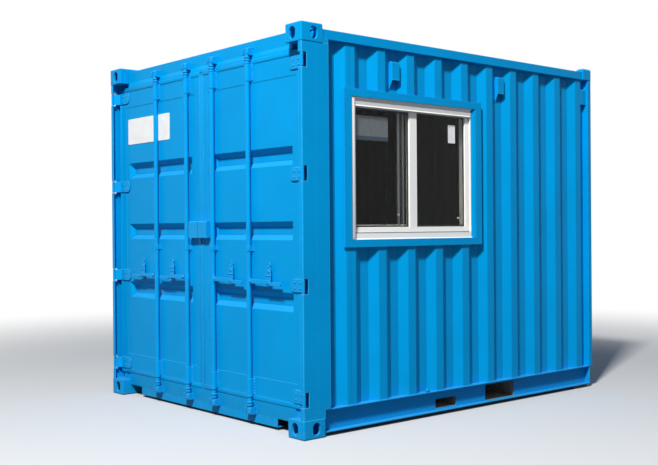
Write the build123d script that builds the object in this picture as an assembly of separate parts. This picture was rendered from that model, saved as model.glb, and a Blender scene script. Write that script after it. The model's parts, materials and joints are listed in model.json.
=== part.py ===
"""Ten-foot steel shipping container made into a cabin, with a sliding window in one long wall.

Millimetres. X runs along the container from the door end (-X) to the far end (+X), Y across it with
the window wall on -Y, and Z up. The origin is at the middle of the footprint, on the ground.
Depths called "in" are measured inwards from the side plane, and "back" from the door-end plane.
"""

from build123d import *
import os
from math import ceil, hypot, radians, tan

# ---------------------------------------------------------------- overall
LENGTH = 3048.0
WIDTH = 2438.0
HEIGHT = 2591.0

DOOR_X = -LENGTH / 2
FAR_X = LENGTH / 2
SIDE_Y = WIDTH / 2

# ---------------------------------------------------------------- corner fittings
FITTING_LENGTH = 178.0
FITTING_WIDTH = 162.0
FITTING_HEIGHT = 118.0
FITTING_WALL = 16.0
FITTING_SEAT = 22.0          # thickness of the plate with the twistlock slot
SLOT_LENGTH = 124.0
SLOT_WIDTH = 63.5
SLOT_FROM_END = 101.75       # slot centre, from the door-end plane
SLOT_FROM_SIDE = 89.5        # slot centre, from the side plane
FACE_HOLE_WIDTH = 60.0
FACE_HOLE_HEIGHT = 80.0
FITTING_EDGE = 10.0          # rounding of the casting's free edges

# ---------------------------------------------------------------- side rails, posts, walls
SETBACK = 8.0                # rails and window surround, in from the side plane
POST_SETBACK = 3.0           # posts, in from the side plane and back from the door plane
POST_PLATE = 4.0
POST_BEND = 6.0              # radius of the folded front corner
POST_LENGTH = 224.0          # door post, along the container
POST_LIP = 33.0              # front lip of the door post, across the end
POST_STOP_BACK = 116.0       # face of the door stop, back from the door plane
POST_STOP_IN = 60.0          # inner edge of the door stop, in from the side plane
TOP_RAIL = 60.0              # square tube
TOP_RAIL_DROP = 31.0         # rails below the tops of the fittings
TOP_RAIL_TOP = HEIGHT - TOP_RAIL_DROP
RAIL_WALL = 4.0
BOTTOM_RAIL_LOW = 26.0
BOTTOM_RAIL_TOP = 172.0
BOTTOM_RAIL_FLANGE = 52.0
BOTTOM_RAIL_PLATE = 6.0
RAIL_END_SETBACK = 27.0      # far end of the bottom rails, short of the far plane
END_PLATE = 6.0

SHEET = 2.0
WAVE_PITCH = 274.0
WAVE_SLOPE = 68.0
WAVE_FLAT = 68.0             # flat bottom of each recess
WAVE_DEPTH = 36.0
CREST_IN = 20.0              # outer face of the side walls, in from the side plane
WALL_INSIDE_IN = CREST_IN + WAVE_DEPTH + SHEET
FIRST_SLOPE_FROM_END = 310.0
FIRST_WAVE_FROM_END = 460.0  # where the regular recesses begin, from the door plane

FAR_POST_LENGTH = 41.0
FAR_POST_DEPTH = 60.0
FAR_WALL_BACK = 29.0         # outer face of the far wall, in from the far plane
FAR_BLOCK_LENGTH = 106.0
FAR_BLOCK_WIDTH = SETBACK + TOP_RAIL
FAR_BLOCK_EDGE = 12.0        # chamfer round the top
FAR_BLOCK_CORNER = 5.0       # chamfer down the outer corner
FAR_RAIL = 60.0

ROOF_WAVE_PITCH = 209.0
ROOF_WAVE_DEPTH = 18.0
ROOF_WAVE_SLOPE = 30.0
ROOF_WAVE_FLAT = 60.0
ROOF_DROP = 4.0              # roof crests below the top of the rails

# ---------------------------------------------------------------- floor and underside
FLOOR_THICKNESS = 28.0
FLOOR_UNDERSIDE = 151.0
FLOOR_GAP = 2.0
CROSS_MEMBER_WIDTH = 45.0
CROSS_MEMBER_PLATE = 4.0
CROSS_MEMBER_COUNTS = (4, 1, 3)   # before, between and past the fork pockets
POCKET_PLATE = 4.0
SMALL_POCKET_FROM_END = 1340.0
SMALL_POCKET_WIDTH = 215.0
SMALL_POCKET_HEIGHT = 66.0
LARGE_POCKET_FROM_END = 1932.0
LARGE_POCKET_WIDTH = 335.0
LARGE_POCKET_HEIGHT = 115.0
SMALL_POCKET_LIFT = 8.0      # above the bottom flange of the rail
FOOT_LENGTH = 178.0
FOOT_WIDTH = 120.0
FOOT_SETBACK = 20.0

# ---------------------------------------------------------------- door-end frame
SILL_TOP = 182.0
SILL_LOW = 20.0
SILL_FACE_BACK = 76.0
SILL_DEPTH = 58.0
SILL_PLATE = 6.0
SILL_NOTCH_RIGHT = 205.0     # wider on the window side
SILL_NOTCH_LEFT = 170.0
SILL_NOTCH_TOP = 78.0
HEADER_HEIGHT = 130.0
HEADER_LOW = TOP_RAIL_TOP - HEADER_HEIGHT
HEADER_FACE_BACK = 74.0
HEADER_LIP_BACK = 66.0
HEADER_LIP_HEIGHT = 18.0
HEADER_SLOPE_HEIGHT = 28.0
HEADER_LIP_IN = 177.0        # ends of the lip, in from the side plane

# ---------------------------------------------------------------- doors
PIN_IN = 14.0                # hinge axis, in from the side plane
PIN_BACK = 14.0              # hinge axis, back from the door plane
PIN_RADIUS = 6.0
PIN_PLAY = 0.5
PIN_HEAD_RADIUS = 9.0
PIN_HEAD = 4.0
EYE_RADIUS = 11.0
LUG = 10.0
LUG_SIZE = 24.0
HINGE_HEIGHT = 82.0
HINGE_CLEARANCE = 6.0
HINGE_COUNT = 4
HINGE_FROM_LOW = 55.0        # lowest hinge, above the foot of the leaf
HINGE_FROM_TOP = 63.0        # highest hinge, below the head of the leaf
HINGE_NOTCH_BACK = 45.0
HINGE_NOTCH_IN = 40.0
BLADE = 8.0
BLADE_FLAT_IN = 46.0         # where the blade lies down on the leaf, in from the side plane
BLADE_END_IN = 190.0

LEAF_BACK = 66.0             # outer face of a leaf, back from the door plane
LEAF_THICKNESS = 45.0
LEAF_CLEARANCE = 12.0        # between the leaf and the sill or the header
LEAF_LOW = SILL_TOP + LEAF_CLEARANCE
LEAF_TOP = HEADER_LOW - LEAF_CLEARANCE
LEAF_EDGE_IN = 46.0          # hinge edge, in from the side plane
LEAF_HALF_GAP = 9.0          # meeting edge of the steel, from the middle
HINGE_STILE = 90.0
MEETING_STILE = 70.0
TOP_MEMBER = 138.0
BOTTOM_MEMBER = 134.0
GASKET = 6.0
GASKET_DEPTH = 21.0
GASKET_LIP = 4.0             # lip that hangs in front of the sill
GASKET_LIP_DROP = 8.0        # its edge, below the top of the sill
PANEL_INSET = 2.0
RIB_SHARES = (0.262, 0.496, 0.741)   # middle of each rib, up the height of the panel
RIB_HEIGHT = 120.0
RIB_DEPTH = 36.0
RIB_SLOPE = 45.0             # degrees from the panel's normal
RIB_OUTER_IN = 179.0         # outer ends of the ribs, in from the side plane
RIB_INNER = 128.0            # inner ends, from the middle

BAR_RADIUS = 16.0
BAR_BACK = 44.0
BAR_PLACES = (168.0, 593.0)  # inner and outer bar, from the middle
CAM_BELOW_SILL = 80.0        # lower cam, below the top of the sill
CAM_ABOVE_HEADER = 58.0      # upper cam, above the foot of the header
BAR_PAST_CAM = 24.0
CAM_HEIGHT = 26.0
CAM_HALF_LENGTH = 20.0
CAM_RADIUS = 17.0
KEEPER_HALF_GAP = 26.0
KEEPER_EAR = 7.0
KEEPER_HEIGHT = 50.0
KEEPER_PLATE = 3.0
KEEPER_FRONT_BACK = 27.0
BRACKET_SHELL = 2.5
BRACKET_PLAY = 0.5
BRACKET_FLANGE_HALF = 38.0
BRACKET_FLANGE = 3.5
BRACKET_HEIGHT = 114.0       # guides on the leaf's foot and head
BRACKET_FROM_EDGE = 10.0
MID_BRACKET_HEIGHT = 36.0
MID_BRACKET_RISE = 197.0     # above the handles

HANDLE_LEVEL = 965.0
HANDLE_PIVOT = 38.0          # from the bar's axis
HANDLE_BACK = 28.0
HANDLE_PLATE = 8.0
HANDLE_HALF_HEIGHT = 15.0
HANDLE_REACH = 362.0
HANDLE_BEND = 225.0
HANDLE_DROP = 12.0
HANDLE_GRIP_HALF = 12.0
HUB_HALF_HEIGHT = 24.0
HUB_RADIUS = 18.0
HUB_LUG_BACK = 37.0
HUB_LUG_PLATE = 12.0
HUB_LUG_REACH = 54.0
PIVOT_RADIUS = 6.0
PIVOT_HEAD_RADIUS = 10.0
PIVOT_HEAD = 2.0
PIVOT_PLAY = 0.5
CATCH_FROM_BAR = 212.0
CATCH_WIDTH = 46.0
CATCH_PLATE = 5.0
CATCH_CLEARANCE = 8.0
CATCH_SHELF_FRONT = 30.0
RETAINER_BACK = 48.0
RETAINER_RISE = 101.0        # above the handle
RETAINER_RADIUS = 20.0

LOCK_BOX_LOW = 1249.0
LOCK_BOX_HEIGHT = 120.0
LOCK_BOX_FRONT = 26.0
LOCK_BOX_PLATE = 4.0
LOCK_BOX_HALF_GAP = 3.5
LOCK_BOX_RIGHT = 112.0       # edge of the right-hand half, from the middle
LOCK_BOX_LEFT = 116.0

# ---------------------------------------------------------------- window
WINDOW_FROM_END = 422.0      # window-side edge of the opening, from the door plane
WINDOW_WIDTH = 1201.0
WINDOW_HEIGHT = 926.0
SURROUND_SIDE = 66.0
SURROUND_EDGE = 50.0
SURROUND_PLATE = 5.0
REVEAL_IN = 66.0
FRAME_IN = 30.0
FRAME_DEPTH = 70.0
FRAME_SIDE = 32.0
FRAME_TOP = 28.0
FRAME_SILL = 40.0
SASH_IN = 48.0
SASH_DEPTH = 30.0
SASH_SIDE = 34.0
SASH_TOP = 30.0
SASH_SILL = 36.0
GLASS = 4.0

# ---------------------------------------------------------------- vents
VENT_WAVES = (1, 5)          # which regular recesses hold a vent
VENT_WIDTH = 70.0
VENT_HEIGHT = 196.0
VENT_DROP = 128.0            # below the tops of the rails
VENT_FRONT_IN = 22.0
VENT_MOUTH = 66.0            # slant of the open mouth, from the wall up to the front
VENT_HOOD = 14.0
VENT_TOP = TOP_RAIL_TOP - VENT_DROP
VENT_LOW = VENT_TOP - VENT_HEIGHT

# the window hangs from the same line as the vents
VENT_TO_SURROUND = 24.0
WINDOW_LOW = VENT_LOW - VENT_TO_SURROUND - SURROUND_EDGE - WINDOW_HEIGHT


# ---------------------------------------------------------------- helpers
def block(x, y, z):
    """A box from three (low, high) pairs."""
    middle = Pos((x[0] + x[1]) / 2, (y[0] + y[1]) / 2, (z[0] + z[1]) / 2)
    return middle * Box(x[1] - x[0], y[1] - y[0], z[1] - z[0])


def plan(points, low, high):
    """A prism on a closed plan outline, between two heights."""
    return Pos(0, 0, low) * extrude(make_face(Polyline(*points, close=True)), high - low)


def right(back, inward):
    """Plan point near the right-hand (window side) corner of the door end."""
    return (DOOR_X + back, -SIDE_Y + inward)


def right_block(back, inward, z):
    """A box near the right-hand corner, by depths from the door plane and the side plane."""
    return block(
        (DOOR_X + back[0], DOOR_X + back[1]), (-SIDE_Y + inward[0], -SIDE_Y + inward[1]), z
    )


def ring(outer, inner, depth):
    """A rectangular ring in the window wall; sizes are ((x low, x high), (z low, z high))."""
    y = (-SIDE_Y + depth[0], -SIDE_Y + depth[1])
    return block(outer[0], y, outer[1]) - block(inner[0], y, inner[1])


def inset(frame, sides, top, low):
    """The rectangle left inside a frame's members."""
    return ((frame[0][0] + sides, frame[0][1] - sides), (frame[1][0] + low, frame[1][1] - top))


def to_left(shape):
    """The same piece on the other side of the container."""
    return mirror(shape, about=Plane.XZ)


def both(shape):
    """A piece and its mirror image across the middle of the container."""
    return Part() + [shape, to_left(shape)]


def slot_cutter(length, width, depth):
    """An upright prism with the outline of a slot, its length along X, centred on the origin."""
    return extrude(SlotOverall(length, width), depth / 2, both=True)


# ---------------------------------------------------------------- corner fittings
def lower_right_fitting():
    """A hollow corner casting with its twistlock slot and two face holes."""
    body = right_block((0, FITTING_LENGTH), (0, FITTING_WIDTH), (0, FITTING_HEIGHT))
    free = body.edges().filter_by(Axis.Z) + body.faces().sort_by(Axis.Z)[0].edges()
    body = fillet(free, FITTING_EDGE)
    hollow = right_block(
        (FITTING_WALL, FITTING_LENGTH - FITTING_WALL / 2),
        (FITTING_WALL, FITTING_WIDTH - FITTING_WALL),
        (FITTING_SEAT, FITTING_HEIGHT - FITTING_WALL),
    )
    seat = right(SLOT_FROM_END, SLOT_FROM_SIDE)
    twistlock = Pos(*seat, 0) * slot_cutter(SLOT_LENGTH, SLOT_WIDTH, 4 * FITTING_SEAT)
    middle = (FITTING_SEAT + FITTING_HEIGHT - FITTING_WALL) / 2
    upright = slot_cutter(FACE_HOLE_HEIGHT, FACE_HOLE_WIDTH, 4 * FITTING_WALL)
    side_hole = Pos(seat[0], -SIDE_Y, middle) * Rot(90, 0, 0) * Rot(0, 0, 90) * upright
    end_hole = Pos(DOOR_X, seat[1], middle) * Rot(0, 90, 0) * upright
    return body - hollow - twistlock - side_hole - end_hole


def lower_fittings():
    return both(lower_right_fitting())


def upper_fittings():
    return mirror(lower_fittings(), about=Plane.XY.offset(HEIGHT / 2))


# ---------------------------------------------------------------- door end
def hinge_levels():
    """Middle height of each hinge, evenly spaced up the leaf."""
    low = LEAF_LOW + HINGE_FROM_LOW
    step = (LEAF_TOP - HINGE_FROM_TOP - low) / (HINGE_COUNT - 1)
    return [low + i * step for i in range(HINGE_COUNT)]


def hinge_notches():
    """Cuts that let the hinge blades swing round the front corner of the post."""
    half = HINGE_HEIGHT / 2 + HINGE_CLEARANCE
    return [
        right_block((0, HINGE_NOTCH_BACK), (0, HINGE_NOTCH_IN), (level - half, level + half))
        for level in hinge_levels()
    ]


def hinge_lugs():
    """Plates inside the post, above and below each notch, bored for the hinge pin."""
    low = POST_SETBACK + POST_PLATE
    half = HINGE_HEIGHT / 2 + HINGE_CLEARANCE
    lugs = []
    for level in hinge_levels():
        for start in (level - half - LUG, level + half):
            lugs.append(right_block((low, LUG_SIZE + low), (low, LUG_SIZE + low), (start, start + LUG)))
    return lugs


def post_back(z):
    """The back of the door post, from the corner fitting to the folded wall."""
    back = (FITTING_LENGTH, POST_LENGTH)
    box = right_block(back, (POST_SETBACK, WALL_INSIDE_IN), z)
    hollow_in = (POST_SETBACK + POST_PLATE, WALL_INSIDE_IN - SHEET)
    return box - right_block((back[0], back[1] - POST_PLATE), hollow_in, z)


def right_door_post():
    """Folded corner post: side plate, front lip and the stop that the door shuts in front of."""
    out = POST_SETBACK
    skin = POST_SETBACK + POST_PLATE
    stop_end = POST_STOP_BACK + POST_PLATE
    middle = (FITTING_HEIGHT, HEIGHT - FITTING_HEIGHT)
    beside_rail = (BOTTOM_RAIL_TOP, HEIGHT - FITTING_HEIGHT)
    angle = right_block((out, FITTING_LENGTH), (out, skin), middle)
    angle += right_block((out, skin), (out, out + POST_LIP), middle)
    bend = angle.edges().filter_by(Axis.Z).sort_by_distance(Vector(*right(0, 0), HEIGHT / 2))[0]
    angle = fillet(bend, POST_BEND)
    stop = right_block((POST_STOP_BACK, stop_end), (out, POST_STOP_IN), middle)
    inner = (POST_STOP_IN - POST_PLATE, POST_STOP_IN)
    stop += right_block((POST_STOP_BACK, FITTING_LENGTH), inner, middle)
    post = angle + stop + post_back(beside_rail) + hinge_lugs()
    post -= hinge_notches()
    bore = Pos(*right(PIN_BACK, PIN_IN), 0) * Cylinder(PIN_RADIUS + PIN_PLAY, HEIGHT * 2)
    return post - (bore & right_block((0, HINGE_NOTCH_BACK), (0, HINGE_NOTCH_IN), middle))


def hinge_pins():
    """One headed pin a hinge, dropped through the lugs."""
    half = HINGE_HEIGHT / 2 + HINGE_CLEARANCE + LUG
    pins = Part()
    for level in hinge_levels():
        foot = Pos(*right(PIN_BACK, PIN_IN), level - half)
        shank = foot * extrude(Circle(PIN_RADIUS), 2 * half)
        head = Pos(0, 0, 2 * half) * foot * extrude(Circle(PIN_HEAD_RADIUS), PIN_HEAD)
        head &= right_block(
            (POST_SETBACK + POST_PLATE, LUG_SIZE), (POST_SETBACK + POST_PLATE, LUG_SIZE), (0, HEIGHT)
        )
        pins += both(shank + head)
    return pins


def door_header():
    """Beam over the doorway, with a sloping lip that throws the rain clear of the doors."""
    lip = [
        (DOOR_X + HEADER_FACE_BACK, TOP_RAIL_TOP),
        (DOOR_X + HEADER_FACE_BACK, HEADER_LOW + HEADER_LIP_HEIGHT + HEADER_SLOPE_HEIGHT),
        (DOOR_X + HEADER_LIP_BACK, HEADER_LOW + HEADER_LIP_HEIGHT),
        (DOOR_X + HEADER_LIP_BACK, HEADER_LOW),
        (DOOR_X + FITTING_LENGTH, HEADER_LOW),
        (DOOR_X + FITTING_LENGTH, TOP_RAIL_TOP),
    ]
    section = make_face(Plane.XZ * Polyline(*lip, close=True))
    beam = extrude(section, SIDE_Y - HEADER_LIP_IN, both=True)
    inner = SIDE_Y - FITTING_WIDTH
    back = (DOOR_X + POST_STOP_BACK, DOOR_X + FITTING_LENGTH)
    beam += block(back, (-inner, inner), (HEADER_LOW, TOP_RAIL_TOP))
    wide = SIDE_Y - POST_STOP_IN
    beam += block(back, (-wide, wide), (HEADER_LOW, HEIGHT - FITTING_HEIGHT))
    return beam


def door_sill():
    """Channel under the doors, notched beside the corner fittings."""
    inner = SIDE_Y - FITTING_WIDTH
    low = (DOOR_X + SILL_FACE_BACK, DOOR_X + SILL_FACE_BACK + SILL_DEPTH)
    face = block((low[0], low[0] + SILL_PLATE), (-inner, inner), (SILL_LOW, SILL_TOP))
    top = block(low, (-inner, inner), (SILL_TOP - SILL_PLATE, SILL_TOP))
    foot = block(low, (-inner, inner), (SILL_LOW, SILL_LOW + SILL_PLATE))
    wide = SIDE_Y - POST_STOP_IN
    tread = block(low, (-wide, wide), (FITTING_HEIGHT, SILL_TOP))
    hollow = (low[0] + SILL_PLATE, low[1])
    tread -= block(hollow, (-wide, wide), (FITTING_HEIGHT, SILL_TOP - SILL_PLATE))
    right_notch, left_notch = [
        right_block((0, FITTING_LENGTH), (FITTING_WIDTH, FITTING_WIDTH + width), (0, SILL_NOTCH_TOP))
        for width in (SILL_NOTCH_RIGHT, SILL_NOTCH_LEFT)
    ]
    return face + top + foot + tread - right_notch - to_left(left_notch)


def keeper(place, level, wall_back):
    """Cam keeper: a plate with two ears that stand either side of the cam."""
    half = KEEPER_HEIGHT / 2
    z = (level - half, level + half)
    x = (DOOR_X + KEEPER_FRONT_BACK, DOOR_X + wall_back)
    outer = KEEPER_HALF_GAP + KEEPER_EAR
    plate = block((x[1] - KEEPER_PLATE, x[1]), (place - outer, place + outer), z)
    ears = Part()
    for side in (-1, 1):
        middle = place + side * (KEEPER_HALF_GAP + KEEPER_EAR / 2)
        ear = block(x, (middle - KEEPER_EAR / 2, middle + KEEPER_EAR / 2), z)
        front = ear.faces().sort_by(Axis.X)[0].edges().filter_by(Axis.Y)
        ears += fillet(front, half * 0.6)
    return plate + ears


def cam_levels():
    return SILL_TOP - CAM_BELOW_SILL, HEADER_LOW + CAM_ABOVE_HEADER


def bar_keepers():
    """A keeper above and below each locking bar."""
    keepers = Part()
    for place in BAR_PLACES:
        for level, wall in zip(cam_levels(), (SILL_FACE_BACK, HEADER_FACE_BACK)):
            keepers += both(keeper(-place, level, wall))
    return keepers - door_header()


# ---------------------------------------------------------------- one door leaf (the right one)
def leaf_z():
    return (LEAF_LOW, LEAF_TOP)


def leaf_span():
    """Y range of the right-hand leaf."""
    return (-SIDE_Y + LEAF_EDGE_IN, -LEAF_HALF_GAP)


def leaf_frame():
    """Welded rectangular frame of the leaf."""
    x = (DOOR_X + LEAF_BACK, DOOR_X + LEAF_BACK + LEAF_THICKNESS)
    y = leaf_span()
    hole = ((y[0] + HINGE_STILE, y[1] - MEETING_STILE), (LEAF_LOW + BOTTOM_MEMBER, LEAF_TOP - TOP_MEMBER))
    return block(x, y, leaf_z()) - block(x, *hole)


def leaf_panel():
    """Pressed sheet in the frame, with three sunk ribs that taper in at all four sides."""
    y = leaf_span()
    face = DOOR_X + LEAF_BACK + PANEL_INSET
    sheet = block(
        (face, face + SHEET),
        (y[0] + HINGE_STILE, y[1] - MEETING_STILE),
        (LEAF_LOW + BOTTOM_MEMBER, LEAF_TOP - TOP_MEMBER),
    )
    rib_outer = SIDE_Y - RIB_OUTER_IN
    length = rib_outer - RIB_INNER
    centre = -(rib_outer + RIB_INNER) / 2
    grow = 2 * SHEET * (2 ** 0.5 - 1)
    panel_height = LEAF_TOP - TOP_MEMBER - LEAF_LOW - BOTTOM_MEMBER
    for share in RIB_SHARES:
        level = LEAF_LOW + BOTTOM_MEMBER + share * panel_height
        outside = Plane(origin=(face + SHEET, centre, level), x_dir=(0, 1, 0), z_dir=(1, 0, 0))
        inside = Plane(origin=(face, centre, level), x_dir=(0, 1, 0), z_dir=(1, 0, 0))
        sheet += extrude(outside * Rectangle(length + grow, RIB_HEIGHT + grow), RIB_DEPTH, taper=RIB_SLOPE)
        sheet -= extrude(inside * Rectangle(length, RIB_HEIGHT), RIB_DEPTH, taper=RIB_SLOPE)
    return sheet


def leaf_gasket():
    """Rubber seal round the edges of the leaf, with a lip that hangs in front of the sill."""
    x = (DOOR_X + LEAF_BACK, DOOR_X + LEAF_BACK + GASKET_DEPTH)
    y = leaf_span()
    z = leaf_z()
    wide = (y[0] - GASKET, y[1] + GASKET)
    outer = block(x, wide, (z[0] - GASKET, z[1] + GASKET))
    lip = block((x[0], x[0] + GASKET_LIP), wide, (SILL_TOP - GASKET_LIP_DROP, z[0]))
    return outer + lip - block(x, y, z)


def leaf_hinges():
    """Four forged hinge blades: an eye round the pin, a crank, and a strap on the leaf."""
    eye = right(PIN_BACK, PIN_IN)
    run = BLADE_FLAT_IN - PIN_IN
    rise = LEAF_BACK - BLADE / 2 - PIN_BACK
    reach = hypot(run, rise)
    side = (BLADE / 2 * rise / reach, BLADE / 2 * run / reach)
    crank = [
        right(PIN_BACK - side[1], PIN_IN + side[0]),
        right(LEAF_BACK - BLADE, BLADE_FLAT_IN + side[0] / 2),
        right(LEAF_BACK - BLADE, BLADE_END_IN),
        right(LEAF_BACK, BLADE_END_IN),
        right(LEAF_BACK, BLADE_FLAT_IN),
        right(PIN_BACK + side[1], PIN_IN - side[0]),
    ]
    outline = make_face(Polyline(*crank, close=True)) + Pos(*eye) * Circle(EYE_RADIUS)
    outline -= Pos(*eye) * Circle(PIN_RADIUS + PIN_PLAY)
    blades = Part()
    for level in hinge_levels():
        low = level - HINGE_HEIGHT / 2
        blade = Pos(0, 0, low) * extrude(outline, HINGE_HEIGHT)
        ends = blade.edges().filter_by(Axis.X).sort_by(Axis.Y)[-2:]
        blades += fillet(ends, HINGE_HEIGHT / 3)
    return blades


def bracket_spans():
    """Height range of each guide, and how far the face under it is sunk."""
    low = LEAF_LOW + BRACKET_FROM_EDGE
    top = LEAF_TOP - BRACKET_FROM_EDGE
    middle = HANDLE_LEVEL + MID_BRACKET_RISE
    return (
        (low, low + BRACKET_HEIGHT, 0),
        (middle, middle + MID_BRACKET_HEIGHT, PANEL_INSET),
        (top - BRACKET_HEIGHT, top, 0),
    )


def bar_brackets():
    """Guides that hold the two locking bars to the leaf."""
    leg = BAR_RADIUS + BRACKET_PLAY
    shell = leg + BRACKET_SHELL
    wall = LEAF_BACK - BAR_BACK
    guides = Part()
    for place in BAR_PLACES:
        axis = Pos(DOOR_X + BAR_BACK, -place)
        for low, high, inset_by in bracket_spans():
            foot = wall + inset_by
            outline = axis * Circle(shell) + axis * Pos(foot / 2, 0) * Rectangle(foot, 2 * shell)
            flange = Rectangle(BRACKET_FLANGE, 2 * BRACKET_FLANGE_HALF)
            outline += axis * Pos(foot - BRACKET_FLANGE / 2, 0) * flange
            outline -= axis * Circle(leg) + axis * Pos(foot / 2, 0) * Rectangle(foot, 2 * leg)
            guides += Pos(0, 0, low) * extrude(outline, high - low)
    return guides


def handle_catches():
    """A shelf under each handle and a rounded retainer plate above it."""
    catches = Part()
    shelf_top = HANDLE_LEVEL - HANDLE_HALF_HEIGHT - CATCH_CLEARANCE
    low = shelf_top - CATCH_PLATE
    top = HANDLE_LEVEL + RETAINER_RISE
    for place in BAR_PLACES:
        middle = -(place + CATCH_FROM_BAR)
        y = (middle - CATCH_WIDTH / 2, middle + CATCH_WIDTH / 2)
        wall = DOOR_X + LEAF_BACK + PANEL_INSET
        shelf = block((DOOR_X + CATCH_SHELF_FRONT, wall), y, (low, shelf_top))
        front = shelf.edges().filter_by(Axis.Z).sort_by(Axis.X)[:2]
        shelf = fillet(front, CATCH_WIDTH / 4)
        plate_x = (DOOR_X + RETAINER_BACK, DOOR_X + RETAINER_BACK + CATCH_PLATE)
        plate = block(plate_x, y, (low, top))
        corners = plate.edges().filter_by(Axis.X).sort_by(Axis.Z)[-2:]
        plate = fillet(corners, RETAINER_RADIUS)
        stand_y = (middle - CATCH_PLATE, middle + CATCH_PLATE)
        stand = block((plate_x[1], wall), stand_y, (low, top - RETAINER_RADIUS))
        catches += shelf + plate + stand
    return catches


def lock_box(edge):
    """Half of the padlock housing: open below, and open towards the other half."""
    wall = DOOR_X + LEAF_BACK
    front = DOOR_X + LOCK_BOX_FRONT
    y = (-edge, -LOCK_BOX_HALF_GAP)
    z = (LOCK_BOX_LOW, LOCK_BOX_LOW + LOCK_BOX_HEIGHT)
    t = LOCK_BOX_PLATE
    shell = block((front, wall), y, z)
    upper = shell.edges().filter_by(Axis.Y).sort_by(lambda e: e.center().X - e.center().Z)[0]
    shell = fillet(upper, 3 * t)
    return shell - block((front + t, wall), (y[0] + t, y[1]), (z[0], z[1] - t))


# ---------------------------------------------------------------- bars and handles (right-hand leaf)
def locking_bar(place):
    """Round bar with a cam at each end and the lug that carries its handle."""
    axis = Pos(DOOR_X + BAR_BACK, -place)
    low, top = cam_levels()
    length = top - low + 2 * BAR_PAST_CAM
    bar = axis * Pos(0, 0, low - BAR_PAST_CAM) * extrude(Circle(BAR_RADIUS), length)
    for level in (low, top):
        cam = extrude(Rot(0, 0, 90) * SlotOverall(2 * CAM_HALF_LENGTH, 2 * CAM_RADIUS), CAM_HEIGHT)
        bar += axis * Pos(0, 0, level - CAM_HEIGHT / 2) * cam
    hub = axis * Pos(0, 0, HANDLE_LEVEL) * Cylinder(HUB_RADIUS, 2 * HUB_HALF_HEIGHT)
    hub -= block((DOOR_X, DOOR_X + HUB_LUG_BACK), (-SIDE_Y, 0), (0, HEIGHT))
    hub += axis * Pos(0, 0, HANDLE_LEVEL) * Cylinder(BAR_RADIUS, 2 * HUB_HALF_HEIGHT)
    lug = block(
        (DOOR_X + HUB_LUG_BACK, DOOR_X + HUB_LUG_BACK + HUB_LUG_PLATE),
        (-place - HUB_LUG_REACH, -place),
        (HANDLE_LEVEL - HANDLE_HALF_HEIGHT, HANDLE_LEVEL + HANDLE_HALF_HEIGHT),
    )
    tip = lug.edges().filter_by(Axis.X).sort_by(Axis.Y)[:2]
    lug = fillet(tip, HANDLE_HALF_HEIGHT * 0.9)
    front = DOOR_X + HANDLE_BACK - PIVOT_HEAD - PIVOT_PLAY
    pivot_at = Plane(origin=(front, -place - HANDLE_PIVOT, HANDLE_LEVEL), z_dir=(1, 0, 0))
    head = extrude(pivot_at * Circle(PIVOT_HEAD_RADIUS), PIVOT_HEAD)
    shank = extrude(pivot_at * Circle(PIVOT_RADIUS), DOOR_X + HUB_LUG_BACK + 1 - front)
    return bar + hub + lug + head + shank


def handle(place):
    """Flat steel handle, cranked down to its grip, that swings up on the bar's lug."""
    eye = (-place - HANDLE_PIVOT, HANDLE_LEVEL)
    bend = -place - HANDLE_BEND
    end = -place - HANDLE_REACH
    low = HANDLE_LEVEL - HANDLE_DROP
    outline = [
        (eye[0], eye[1] + HANDLE_HALF_HEIGHT),
        (bend, HANDLE_LEVEL + HANDLE_GRIP_HALF),
        (bend - 2 * HANDLE_DROP, low + HANDLE_GRIP_HALF),
        (end, low + HANDLE_GRIP_HALF),
        (end, low - HANDLE_GRIP_HALF),
        (bend - 2 * HANDLE_DROP, low - HANDLE_GRIP_HALF),
        (bend, HANDLE_LEVEL - HANDLE_GRIP_HALF),
        (eye[0], eye[1] - HANDLE_HALF_HEIGHT),
    ]
    face = Plane(origin=(DOOR_X + HANDLE_BACK, 0, 0), x_dir=(0, 1, 0), z_dir=(1, 0, 0))
    arm = make_face(Polyline(*outline, close=True)) + Pos(*eye) * Circle(HANDLE_HALF_HEIGHT)
    arm -= Pos(*eye) * Circle(PIVOT_RADIUS + PIN_PLAY)
    arm = extrude(face * arm, HANDLE_PLATE)
    grip = arm.edges().filter_by(Axis.X).sort_by(Axis.Y)[:2]
    return fillet(grip, HANDLE_GRIP_HALF * 0.8)


# ---------------------------------------------------------------- long walls
def wave_starts():
    """Where each regular recess begins, from the door plane."""
    last = LENGTH - FAR_POST_LENGTH - POST_SETBACK - WAVE_SLOPE
    count = ceil((last - FIRST_WAVE_FROM_END) / WAVE_PITCH)
    return [FIRST_WAVE_FROM_END + i * WAVE_PITCH for i in range(count)]


def wall_line():
    """Outer face of a long wall in plan: distance from the door plane, and depth of the fold."""
    end = LENGTH - FAR_POST_LENGTH - POST_SETBACK
    line = [
        (POST_LENGTH, WAVE_DEPTH),
        (FIRST_SLOPE_FROM_END, WAVE_DEPTH),
        (FIRST_SLOPE_FROM_END + WAVE_SLOPE, 0),
    ]
    for start in wave_starts():
        floor = start + WAVE_SLOPE
        line += [(start, 0), (floor, WAVE_DEPTH), (floor + WAVE_FLAT, WAVE_DEPTH)]
        line.append((floor + WAVE_FLAT + WAVE_SLOPE, 0))
    line = [point for point in line if point[0] < end]
    return line + [(end, WAVE_DEPTH)]


def long_wall():
    """Folded sheet of the window wall before the window is cut."""
    outside = [right(x, CREST_IN + depth) for x, depth in wall_line()]
    inside = [right(x, CREST_IN + depth + SHEET) for x, depth in reversed(wall_line())]
    return plan(outside + inside, BOTTOM_RAIL_TOP, TOP_RAIL_TOP - TOP_RAIL)


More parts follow.
